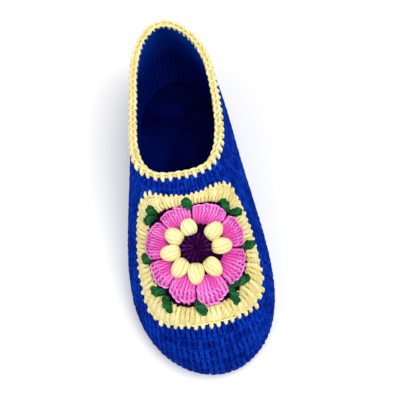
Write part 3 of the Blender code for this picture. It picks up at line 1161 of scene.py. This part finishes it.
@dataclass
class Rim(Face):
    """The collar's rim under the edging: a is the share of the way round, b the distance over the rim.

    The section is an upturned U: b runs from the middle of its top, outwards if it is positive, over a half
    round of the edging's radius and straight down the wall.

    Attributes:
        last: The foot form.
        radius: Radius of the half round.
        rise: How far the half round's middle stands above the wall's rim.
        nodes: Places round the rim that are worked out.
        table: Middle line, outward and upward direction at the nodes, twice.
        share: Measured share of the way round at the nodes.
    """

    last: Last
    radius: float
    rise: float
    nodes: int = 720
    table: Array = field(init=False)
    share: Array = field(init=False)

    def __post_init__(self) -> None:
        """Works out the edging's middle line over the middle of the wall."""
        handles = self.last.handles(ring(self.nodes))
        collar = handles[:, 3]
        up = unit(collar - handles[:, 2])
        along = unit(np.roll(collar, -1, axis=0) - np.roll(collar, 1, axis=0))
        out = unit(np.cross(along, up))
        line = collar + up * self.rise - out * self.last.wall / 2
        run = run_along(np.concatenate([line, line[:1]]))
        self.share = run / run[-1]
        self.table = np.repeat(np.concatenate([line, out, up], axis=1)[:, None], 2, axis=1)

    def frame_at(self, a: Array) -> tuple[Array, Array, Array]:
        """Reads the rim's own axes.

        Args:
            a: Measured shares of the way round.

        Returns:
            Middle, outward and upward direction.
        """
        i = np.interp(np.mod(a, 1), self.share, np.arange(self.nodes + 1))
        middle, out, up = np.split(bilinear(self.table, i, np.zeros_like(i), True), 3, axis=-1)
        return middle, unit(out), unit(up)

    def at(self, a: Array, b: Array) -> tuple[Array, Array]:
        """Reads the U.

        Args:
            a: Measured shares of the way round.
            b: Distances over the rim.

        Returns:
            Points and outward normals.
        """
        middle, out, up = self.frame_at(a)
        turn = np.clip(b / self.radius, -math.pi / 2, math.pi / 2)
        down = np.maximum(np.abs(b) - self.radius * math.pi / 2, 0)
        normal = np.sin(turn)[..., None] * out + np.cos(turn)[..., None] * up
        return middle + self.radius * normal - down[..., None] * up, normal


@dataclass(frozen=True)
class RimBand:
    """A closed ring that fills both arms of the rim's U between two distances from its top."""

    start: float
    end: float
    inset: float
    # lightness, set below that of the stitches over it as painted shade between them
    tone: float
    nodes: int = 240
    rows: int = 9

    def surface(self, rim: Rim) -> Surface:
        """The ring on a rim."""
        a, b = grid(ring(self.nodes), np.linspace(self.start, self.end, self.rows))
        return slab(rim.lifted(a, b, -self.inset), rim.lifted(a, -b, -self.inset), self.tone)


@dataclass
class CollarEdging(SubAssembly):
    """The yellow edging: a core over the rim, a chain along its top and posts that end in points.

    The posts are long round the front of the collar and short round the rest. A row of blue V stitches under
    them ends the wall.
    """

    radius: float = 1.6 * MM
    rise: float = 3.4 * MM
    stitches: int = 62
    stitch_height: float = 10 * MM
    front_share: float = 0.42
    # Painted shade: the core under the stitches is darker than them
    core: RimBand = RimBand(0.0, 3.8 * MM, 0.3 * MM, 0.40)
    short_up: Handles = (0.14, 0.24, 0.33, 0.44)
    chain: Strand = Strand((-0.62, -0.25, 0.30, 0.62), (0.02, 0.17, 0.20, 0.05),
                           (-0.10, 0.16, 0.18, -0.06), (0.14, 0.22, 0.14))
    outer_post: Strand = Strand((-0.10, 0.05, 0.02, 0.10), (0.14, 0.30, 0.44, 0.62),
                                (0.00, 0.16, 0.10, -0.16), (0.20, 0.28, 0.14))
    inner_post: Strand = Strand((0.06, 0.00, 0.00, -0.06), (-0.14, -0.26, -0.36, -0.48),
                                (0.00, 0.12, 0.08, -0.20), (0.16, 0.20, 0.10))
    blue_stitches: int = 78
    blue_foot: float = 7.6 * MM
    blue_height: float = 4.2 * MM
    # Painted shade: the blue core under the row is dark
    blue_core: RimBand = RimBand(3.2 * MM, 9.0 * MM, 0.5 * MM, 0.12)

    def build(self) -> None:
        """Builds the edging and the blue row, each with its core as one piece."""
        rim = Rim(self.shop.last, self.radius, self.rise)
        work, show = self.shop.hook.work, self.shop.show
        a = ring(self.stitches, 0.5)
        front = np.abs(a - 0.5) < self.front_share / 2
        chain = (self.chain, replace(self.chain, up=tuple(-x for x in self.chain.up)))
        short_post = replace(self.outer_post, up=self.short_up)
        stitches = [
            work(rim, a[pick], 0.0, 1 / self.stitches, self.stitch_height, (*chain, post, self.inner_post),
                 steps=8, uneven=0.04, tones=(0.7, 1.15))
            for pick, post in ((front, self.outer_post), (~front, short_post))
        ]
        show("collar_edging_stitches", YarnSlot.YELLOW, [self.core.surface(rim), *stitches], "collar_edging")
        a, da = ring(self.blue_stitches, 0.5), 1 / self.blue_stitches
        row = work(rim, a, self.blue_foot, da, -self.blue_height, V_STITCH)
        show("collar_top_row", YarnSlot.BLUE, [self.blue_core.surface(rim), row])


@dataclass
class SquareBand(Face):
    """The flower square's border: a is the share of the way round, b runs from the ground to the outer edge.

    Attributes:
        sheet: The vamp.
        crown: How far the middle of the border stands up.
        lap: How far inside the ground's outline the crown begins, in border widths.
        nodes: Number of steps round the border.
        angle: Directions from the flower's middle.
        share: Share of the way round at those directions, measured along the border's middle.
    """

    sheet: VampSheet
    crown: float
    lap: float = 0.25
    nodes: int = 1440
    angle: Array = field(init=False)
    share: Array = field(init=False)

    def __post_init__(self) -> None:
        """Measures the middle of the border, so that a has an even speed."""
        self.angle = np.linspace(0, TURN, self.nodes + 1)
        run = run_along((self.sheet.square(self.angle) + self.sheet.ground(self.angle)).T / 2)
        self.share = run / run[-1]

    def plane(self, a: Array, b: Array) -> Array:
        """Reads places on the sheet, straight from the ground's outline to the square's.

        Args:
            a: Shares of the way round.
            b: Shares of the way out.

        Returns:
            Distances from the flower's middle.
        """
        angle = np.interp(np.mod(a, 1), self.share, self.angle)
        inner, outer = self.sheet.ground(angle), self.sheet.square(angle)
        return inner + b * (outer - inner)

    def at(self, a: Array, b: Array) -> tuple[Array, Array]:
        """Reads the crown, a half sine across the border that starts a little inside the ground's outline.

        Args:
            a: Shares of the way round.
            b: Shares of the way out.

        Returns:
            Points and outward normals.
        """
        points, normals = self.sheet.at(*self.plane(a, b))
        share = np.clip((b + self.lap) / (1 + self.lap), 0, 1)
        return points + normals * (self.crown * np.sin(math.pi * share))[..., None], normals


@dataclass
class SquareBorder(SubAssembly):
    """The flower square's yellow frame: pairs of posts, a chain along the edge and points over the blue."""

    posts: int = 84
    points: int = 66
    crown: float = 1.4 * MM
    inner_edge: float = -0.09
    outer_edge: float = 0.98
    base_nodes: int = 168
    base_rows: int = 8
    base_inset: float = 0.2 * MM
    base_depth: float = 0.7 * MM
    # Painted shade: the slab between the posts is darker than them
    base_shade_tone: float = 0.38
    left_post: Strand = Strand((0.02, 0.12, -0.34, -0.22), (-0.06, 0.22, 0.60, 0.90),
                               (-0.10, 0.06, 0.08, 0.00), (0.36, 0.42, 0.30))
    cross_post: Strand = Strand((-0.16, -0.06, 0.40, 0.28), (-0.04, 0.22, 0.56, 0.88),
                                (-0.12, 0.00, 0.04, -0.02), (0.34, 0.40, 0.28))
    wrap: Strand = Strand((-0.40, -0.10, 0.15, 0.40), (0.44, 0.48, 0.54, 0.60),
                          (-0.14, 0.26, 0.26, -0.10), (0.12, 0.18, 0.12))
    edge_leg: Strand = Strand((-0.60, -0.20, 0.25, 0.60), (0.84, 0.88, 0.97, 0.93),
                              (0.02, 0.26, 0.28, 0.00), (0.16, 0.22, 0.16))
    inner_leg: Strand = Strand((-0.60, -0.25, 0.20, 0.60), (0.80, 0.78, 0.68, 0.74),
                               (0.00, 0.24, 0.26, -0.02), (0.15, 0.21, 0.15))
    point: Strand = Strand((0.0, 0.04, 0.0, -0.04), (0.84, 0.98, 1.08, 1.20),
                           (0.06, 0.22, 0.14, -0.10), (0.28, 0.34, 0.15))

    def build(self) -> None:
        """Builds the slab, the posts, the edge chain and the points as one piece."""
        band = SquareBand(self.shop.sheet, self.crown)
        work = self.shop.hook.work
        a, da = ring(self.posts), 1 / self.posts
        posts = work(band, a, 0.0, da, 1.0, (self.left_post, self.cross_post, self.wrap),
                     steps=8, uneven=0.07, tones=(0.40, 1.05))
        edge = work(band, a, 0.0, da, 1.0, (self.edge_leg, self.inner_leg), tones=(0.6, 1.1))
        points = work(band, ring(self.points, 0.5), 0.0, 1 / self.points, 1.0, (self.point,),
                      steps=7, uneven=0.08, tones=(0.6, 1.1))
        self.shop.show("square_border_stitches", YarnSlot.YELLOW, [self.base(band), posts, edge, points],
                       "square_border")

    def base(self, band: SquareBand) -> Surface:
        """Slab under the posts, from just inside the shoe to just under the crown.

        Args:
            band: The border's face.

        Returns:
            The slab.
        """
        a, b = grid(ring(self.base_nodes), np.linspace(self.inner_edge, self.outer_edge, self.base_rows))
        bottom = self.shop.sheet.lifted(*band.plane(a, b), -self.shop.last.wall - self.base_depth)
        # The slab, darker with painted shade where it shows between posts
        return slab(band.lifted(a, b, -self.base_inset), bottom, self.base_shade_tone)


@dataclass
class FlowerFace(Face):
    """The vamp round the flower: a is the angle and b the distance from its middle."""

    sheet: VampSheet

    def at(self, a: Array, b: Array) -> tuple[Array, Array]:
        """Points and outward normals."""
        return self.sheet.at(b * np.cos(a), b * np.sin(a))


@dataclass
class Ground(SubAssembly):
    """The dark ground behind the flower, with posts that show between petals and border."""

    spokes: int = 120
    rings: int = 14
    hub: float = 0.004
    lap: float = 1.05
    inset: float = 0.4 * MM
    depth: float = 0.6 * MM
    tone: float = 0.3
    posts: int = 72
    posts_from: float = 25 * MM
    posts_over: float = 1 * MM
    post: Strand = Strand((-0.15, -0.05, 0.05, 0.15), (0.0, 0.3, 0.7, 1.0),
                          (-0.15, 0.10, 0.10, -0.10), (0.28, 0.36, 0.28))

    def build(self) -> None:
        """Builds the ground's slab and its posts as one piece."""
        sheet = self.shop.sheet
        angle, share = grid(TURN * ring(self.spokes), np.linspace(self.hub, self.lap, self.rings))
        p, q = sheet.ground(angle) * share
        bottom = sheet.lifted(p, q, -self.shop.last.wall - self.depth)
        base = slab(sheet.lifted(p, q, -self.inset), bottom, self.tone)
        a = TURN * ring(self.posts)
        reach = np.hypot(*sheet.ground(a)) - self.posts_from + self.posts_over
        face = FlowerFace(sheet)
        posts = self.shop.hook.work(face, a, self.posts_from, TURN / self.posts, reach, (self.post,),
                                    uneven=0.06, tones=(0.2, 0.7))
        self.shop.show("vamp_ground", YarnSlot.PURPLE, [base, posts], "vamp_panel")


@dataclass(frozen=True)
class PostRound:
    """A round of posts: where they begin, how tall they are, how far they are raised, and how many."""

    start: float
    tall: float
    lift: float
    posts: int


@dataclass
class FlowerCentre(SubAssembly):
    """The round dark middle: a low dome with two rounds of posts and a dimple."""

    radius: float = 10.4 * MM
    height: float = 0.9 * MM
    dimple: float = 1.2 * MM
    dimple_share: float = 0.16
    spokes: int = 48
    rings: int = 9
    hub: float = 0.02
    depth: float = 0.3 * MM
    # Painted shade: the dome between the posts is darker than them
    tone: float = 0.40
    rounds: tuple[PostRound, ...] = (
        PostRound(1.6 * MM, 4.4 * MM, 0.35, 10),
        PostRound(5.4 * MM, 5.0 * MM, 0.22, 16),
    )
    post: Strand = Strand((-0.10, 0.10, -0.05, 0.05), (0.02, 0.3, 0.7, 1.0),
                          (-0.25, 0.12, 0.14, -0.10), (0.24, 0.30, 0.26))

    def build(self) -> None:
        """Builds dome and posts as one piece: the dome falls with the fourth power, the dimple is a bell."""
        face = FlowerFace(self.shop.sheet)
        angle, share = grid(TURN * ring(self.spokes), np.linspace(self.hub, 1, self.rings))
        dome = self.height * (1 - share ** 4) - self.dimple * np.exp(-(share / self.dimple_share) ** 2)
        reach = share * self.radius
        made = [slab(face.lifted(angle, reach, dome), face.lifted(angle, reach, -self.depth), self.tone)]
        for each in self.rounds:
            post = replace(self.post, lift=tuple(x + each.lift for x in self.post.lift))
            a, da = TURN * ring(each.posts), TURN / each.posts
            made.append(self.shop.hook.work(face, a, each.start, da, each.tall, (post,),
                                            uneven=0.08, tones=(0.55, 1.20)))
        self.shop.show("flower_centre_stitches", YarnSlot.PURPLE, made, "flower_centre")


@dataclass
class Puffs(SubAssembly):
    """The yellow bobbles: drops of a few loops drawn together, pointed outwards."""

    angles_deg: tuple[float, ...] = (35, 98, 140, 184, 225, 261, 299, 351)
    from_middle: float = 15.7 * MM
    half_length: float = 6.2 * MM
    half_width: float = 4.6 * MM
    rise: float = 2.9 * MM
    droop: float = 0.8 * MM
    flat: float = 0.82
    steps: int = 13
    tip_share: float = 0.98
    outer_power: float = 0.62
    inner_power: float = 0.40
    core_share: float = 0.86
    core_sides: int = 14
    # Painted shade: the drop under the loops is darker than them
    core_shade_tone: float = 0.45
    loops: int = 6
    loop_share: float = 0.80
    loop_thick: float = 0.36
    loop_power: float = 0.35
    first_loop_deg: float = -8
    last_loop_deg: float = 188
    twist: float = 0.45
    uneven: float = 0.12
    tones: tuple[float, float] = (0.75, 1.15)

    def build(self) -> None:
        """Builds each bobble as its own piece."""
        for number, degrees in enumerate(self.angles_deg, 1):
            drop = self.bobble(math.radians(degrees))
            self.shop.show(f"puff_{number}_bobble", YarnSlot.YELLOW, drop, f"puff_{number}")

    def bobble(self, angle: float) -> Iterator[Surface]:
        """A closed drop and the loops over it.

        Along its axis from t = -1 to 1, the drop's radius is a power of 1 - t times one of 1 + t, so that it
        ends in a point. The loops run along it on its upper side, a little twisted.

        Args:
            angle: Direction from the flower's middle.

        Yields:
            The drop, then its loops.
        """
        random = self.shop.hook.random
        t = np.linspace(-self.tip_share, self.tip_share, self.steps)
        reach = self.from_middle + self.half_length * t
        points, normals = FlowerFace(self.shop.sheet).at(np.full_like(t, angle), reach)
        points = points + normals * (self.rise - self.droop * t * t)[:, None]
        radius = self.half_width * (1 - t) ** self.outer_power * (1 + t) ** self.inner_power
        # The drop, darker with painted shade between the loops
        yield tubes(points[None], normals[None], self.core_share * radius[None], np.full(1, self.core_shade_tone),
                    self.core_sides, self.flat)
        turn = np.radians(np.linspace(self.first_loop_deg, self.last_loop_deg, self.loops))[:, None]
        turn = turn + self.twist * t + random.uniform(-self.uneven, self.uneven, (self.loops, 1))
        side = unit(np.cross(np.gradient(points, axis=0), normals))
        away = np.cos(turn)[..., None] * side + self.flat * np.sin(turn)[..., None] * normals
        thick = self.loop_thick * self.half_width * (1 - t * t) ** self.loop_power
        yield tubes(points + (self.loop_share * radius)[:, None] * away, unit(away),
                    np.tile(thick, (self.loops, 1)), random.uniform(*self.tones, self.loops))


@dataclass
class PetalFace(Face):
    """A domed petal: a runs across from -1 to 1, b from the inner end (0) to the scalloped edge (1)."""

    sheet: VampSheet
    middle: float
    half_angle: float
    inner: float = 17.5 * MM
    tip: float = 33.7 * MM
    shoulder: float = 30.0 * MM
    roundness: float = 2.8
    dome: float = 4.4 * MM
    dome_from: float = 0.10
    dome_span: float = 0.76
    dome_power: float = 0.6
    side_fall: float = 0.45

    def polar(self, a: Array, b: Array) -> tuple[Array, Array]:
        """Angle and reach from the flower's middle; the edge falls back towards the notches."""
        outer = self.tip - (self.tip - self.shoulder) * np.abs(a) ** self.roundness
        return self.middle + self.half_angle * a, self.inner + (outer - self.inner) * b

    def at(self, a: Array, b: Array) -> tuple[Array, Array]:
        """Reads the dome, a power of a sine along the petal that falls off with the cube towards its sides.

        Args:
            a: Places across the petal.
            b: Places along it.

        Returns:
            Points and outward normals.
        """
        points, normals = FlowerFace(self.sheet).at(*self.polar(a, b))
        along = np.sin(math.pi * np.clip(self.dome_from + self.dome_span * b, 0, 1)) ** self.dome_power
        height = self.dome * along * (1 - self.side_fall * np.abs(a) ** 3)
        return points + normals * height[..., None], normals


@dataclass
class Petals(SubAssembly):
    """The pink petals: fans of loops over a pillow, with a chain round the scalloped edge."""

    notches_deg: tuple[float, ...] = (-15, 34, 87, 134, 192, 227, 260, 300)
    pillow_half: float = 0.96
    pillow_end: float = 0.97
    pillow_inset: float = 0.5 * MM
    pillow_foot: float = 0.1 * MM
    pillow_columns: int = 15
    pillow_rows: int = 9
    # Painted shade: the pillow that shows between the loops is darker than them
    pillow_shade_tone: float = 0.45
    loop_width: float = 2.8 * MM
    loop_reach: float = 0.94
    loop_tones: tuple[float, float] = (0.80, 1.30)
    chain_width: float = 3.4 * MM
    chain_reach: float = 0.90
    chain_tones: tuple[float, float] = (1.0, 1.35)
    strand: Strand = Strand((0.05, 0.12, -0.12, -0.05), (0.02, 0.30, 0.68, 0.95),
                            (-0.24, -0.06, -0.04, -0.10), (0.34, 0.50, 0.40), 0.55)
    wrap: Strand = Strand((-0.55, -0.15, 0.15, 0.55), (0.50, 0.56, 0.64, 0.70),
                          (0.10, 0.52, 0.52, 0.10), (0.16, 0.24, 0.16))
    rim: Strand = Strand((-0.60, -0.22, 0.22, 0.60), (0.87, 0.94, 0.98, 0.92),
                         (0.00, 0.20, 0.20, -0.02), (0.18, 0.30, 0.18))

    def build(self) -> None:
        """Builds each petal, between two notches of the flower's edge, as its own piece."""
        middles, widths = spans(np.radians((*self.notches_deg, self.notches_deg[0] + 360)))
        for number, (middle, width) in enumerate(zip(middles, widths), 1):
            face = PetalFace(self.shop.sheet, middle, width / 2)
            self.shop.show(f"petal_{number}_loops", YarnSlot.PINK, self.petal(face), f"petal_{number}")

    def petal(self, face: PetalFace) -> Iterator[Surface]:
        """Makes one petal.

        Args:
            face: The petal's dome.

        Yields:
            The pillow, the loops and the edge chain.
        """
        a, b = grid(np.linspace(-self.pillow_half, self.pillow_half, self.pillow_columns),
                    np.linspace(0.0, self.pillow_end, self.pillow_rows))
        bottom = FlowerFace(self.shop.sheet).lifted(*face.polar(a, b), self.pillow_foot)
        # The pillow, darker with painted shade between the loops
        yield slab(face.lifted(a, b, -self.pillow_inset), bottom, self.pillow_shade_tone, cyclic=False)
        for spacing, reach, strands, tones in (
            (self.loop_width, self.loop_reach, (self.strand, self.wrap), self.loop_tones),
            (self.chain_width, self.chain_reach, (self.rim,), self.chain_tones),
        ):
            count = round(2 * face.half_angle * face.tip / spacing)
            across = (2 * ring(count, 0.5) - 1) * reach
            yield self.shop.hook.work(face, across, 0.0, 2 * reach / count, 1.0, strands,
                                      steps=9, uneven=0.06, tones=tones)


@dataclass(frozen=True)
class Leaf:
    """Place of one green strand on the vamp: its middle and length in millimetres, and its heading."""

    p: float
    q: float
    heading_deg: float
    length: float


LEAVES = (
    Leaf(36.0, -8.5, -5, 13.0),
    Leaf(34.0, 17.0, -20, 13.0),
    Leaf(26.5, 25.0, 90, 12.0),
    Leaf(-1.0, 34.5, 105, 12.0),
    Leaf(-29.0, 30.5, 150, 10.0),
    Leaf(-30.0, 23.5, 205, 10.0),
    Leaf(-34.0, -5.0, 160, 8.5),
    Leaf(-29.5, -24.5, 175, 11.0),
    Leaf(-24.0, -31.5, 280, 10.0),
    Leaf(-3.5, -34.0, 300, 9.5),
    Leaf(17.0, -32.0, 290, 12.5),
    Leaf(23.5, -26.5, 0, 16.0),
)


@dataclass
class Leaves(SubAssembly):
    """The green strands, one at each side of the square and two at each corner, in two twisted plies."""

    radius: float = 1.60 * MM
    ply_share: float = 0.80
    turns: float = 1.9
    knots: int = 3
    knot_swell: float = 0.22
    end_spread: float = 1.15
    taper: float = 0.65
    rise: float = 2.9 * MM
    arch: float = 1.6 * MM
    steps: int = 19
    sides: int = 8
    tones: tuple[float, float] = (1.1, 0.8)

    def build(self) -> None:
        """Builds each strand as its own piece."""
        for number, leaf in enumerate(LEAVES, 1):
            self.shop.show(f"leaf_{number}_strand", YarnSlot.GREEN, [self.strand(leaf)], f"leaf_{number}")

    def strand(self, leaf: Leaf) -> Surface:
        """Makes one strand.

        Two helices half a turn apart run round a line that arches over the border's inner edge. They swell
        with a cosine along the line, once for each knot.

        Args:
            leaf: The strand's place.

        Returns:
            Both plies.
        """
        t = np.linspace(-1, 1, self.steps)
        heading = math.radians(leaf.heading_deg)
        reach = leaf.length / 2 * t
        centre, normals = self.shop.sheet.at(MM * (leaf.p + reach * math.cos(heading)),
                                             MM * (leaf.q + reach * math.sin(heading)))
        centre = centre + normals * (self.rise - self.arch * t * t)[:, None]
        side = unit(np.cross(np.gradient(centre, axis=0), normals))
        phase = (math.pi * self.turns * t + self.shop.hook.random.uniform(0, math.pi))[:, None]
        knots = 1 + self.knot_swell * np.cos(self.knots / 2 * TURN * t)
        away = self.ply_share * self.radius * (knots * np.sqrt(self.end_spread - t * t))[:, None]
        away = away * (np.cos(phase) * side + np.sin(phase) * normals)
        radii = self.radius * knots * (1 - self.taper * np.abs(t) ** 3)
        return tubes(np.stack([centre + away, centre - away]), np.stack([normals, normals]),
                     np.stack([radii, radii]), np.array(self.tones), self.sides)


@dataclass(frozen=True)
class SoftBox:
    """A square soft light: its place, the length of its side and its power."""

    name: str
    place: Place
    size: float
    power: float


@dataclass
class Studio:
    """The pale floor, the soft light and the camera at the photograph's viewing angle."""

    aim: Place = (0.008, -0.0085, 0.040)
    elevation_deg: float = 64.7
    azimuth_deg: float = -2.8
    roll_deg: float = -12.2
    distance: float = 0.500
    lens_mm: float = 66.0
    sensor_mm: float = 36.0
    floor_half: float = 3.0
    floor_colour: Colour = (0.90, 0.90, 0.90)
    floor_roughness: float = 0.9
    world_strength: float = 0.46
    lights: tuple[SoftBox, ...] = (
        SoftBox("key", (0.40, -0.25, 1.20), 0.9, 15.0),
        SoftBox("fill", (-0.80, -0.30, 0.90), 0.9, 5.0),
    )

    def build(self) -> None:
        """Builds floor, lights, world and camera."""
        self.floor()
        for box in self.lights:
            self.light(box)
        self.world()
        self.camera()

    def put(self, name: str, data: bpy.types.ID) -> bpy.types.Object:
        """Puts a new object into the scene.

        Args:
            name: The object's name.
            data: Its mesh, light or camera.

        Returns:
            The object.
        """
        made = bpy.data.objects.new(name, data)
        bpy.context.scene.collection.objects.link(made)
        return made

    def floor(self) -> None:
        """A large pale square at the sole's level."""
        half = self.floor_half
        mesh = bpy.data.meshes.new("floor")
        corners = [(-half, -half, 0), (half, -half, 0), (half, half, 0), (-half, half, 0)]
        mesh.from_pydata(corners, [], [(0, 1, 2, 3)])
        floor = self.put("floor", mesh)
        paint = bpy.data.materials.new("floor_paint")
        paint.use_nodes = True
        shader = paint.node_tree.nodes["Principled BSDF"]
        shader.inputs["Base Color"].default_value = (*self.floor_colour, 1)
        shader.inputs["Roughness"].default_value = self.floor_roughness
        mesh.materials.append(paint)

    def light(self, box: SoftBox) -> None:
        """Puts a soft box that faces the slipper.

        Args:
            box: The light.
        """
        data = bpy.data.lights.new(box.name, "AREA")
        data.shape, data.size, data.energy = "SQUARE", box.size, box.power
        lamp = self.put(box.name, data)
        lamp.location = box.place
        lamp.rotation_euler = (Vector(self.aim) - Vector(box.place)).to_track_quat("-Z", "Y").to_euler()

    def world(self) -> None:
        """Even pale light from all round, and plain colours in the picture."""
        world = bpy.data.worlds.new("studio")
        world.use_nodes = True
        back = world.node_tree.nodes["Background"]
        back.inputs["Color"].default_value = (1.0, 1.0, 1.0, 1)
        back.inputs["Strength"].default_value = self.world_strength
        bpy.context.scene.world = world
        bpy.context.scene.view_settings.view_transform = "Standard"

    def camera(self) -> None:
        """A camera on the line through the aim at the elevation and azimuth, rolled round that line."""
        elevation, azimuth, roll = map(math.radians, (self.elevation_deg, self.azimuth_deg, self.roll_deg))
        level = math.cos(elevation)
        look = Vector((math.sin(azimuth) * level, math.cos(azimuth) * level, -math.sin(elevation)))
        across = look.cross(Vector((0, 0, 1))).normalized()
        right = math.cos(roll) * across + math.sin(roll) * across.cross(look)
        data = bpy.data.cameras.new("camera")
        data.lens, data.sensor_width = self.lens_mm, self.sensor_mm
        camera = self.put("camera", data)
        turn = Matrix((right, right.cross(look), -look)).transposed().to_4x4()
        camera.matrix_world = Matrix.Translation(Vector(self.aim) - look * self.distance) @ turn
        bpy.context.scene.camera = camera


def main() -> None:
    """Builds the slipper's pieces in order, then the studio."""
    logging.basicConfig(level=logging.INFO, format="%(message)s")
    last = Last()
    wall = Wall(last)
    shop = Workshop(last, wall, VampSheet(wall), Hook(), YarnLook())
    for kind in (Upper, Sole, CollarEdging, SquareBorder, Ground, FlowerCentre, Puffs, Petals, Leaves):
        kind(shop).build()
    log.info("%d pieces", shop.pieces)
    Studio().build()


if __name__ == "__main__":
    main()
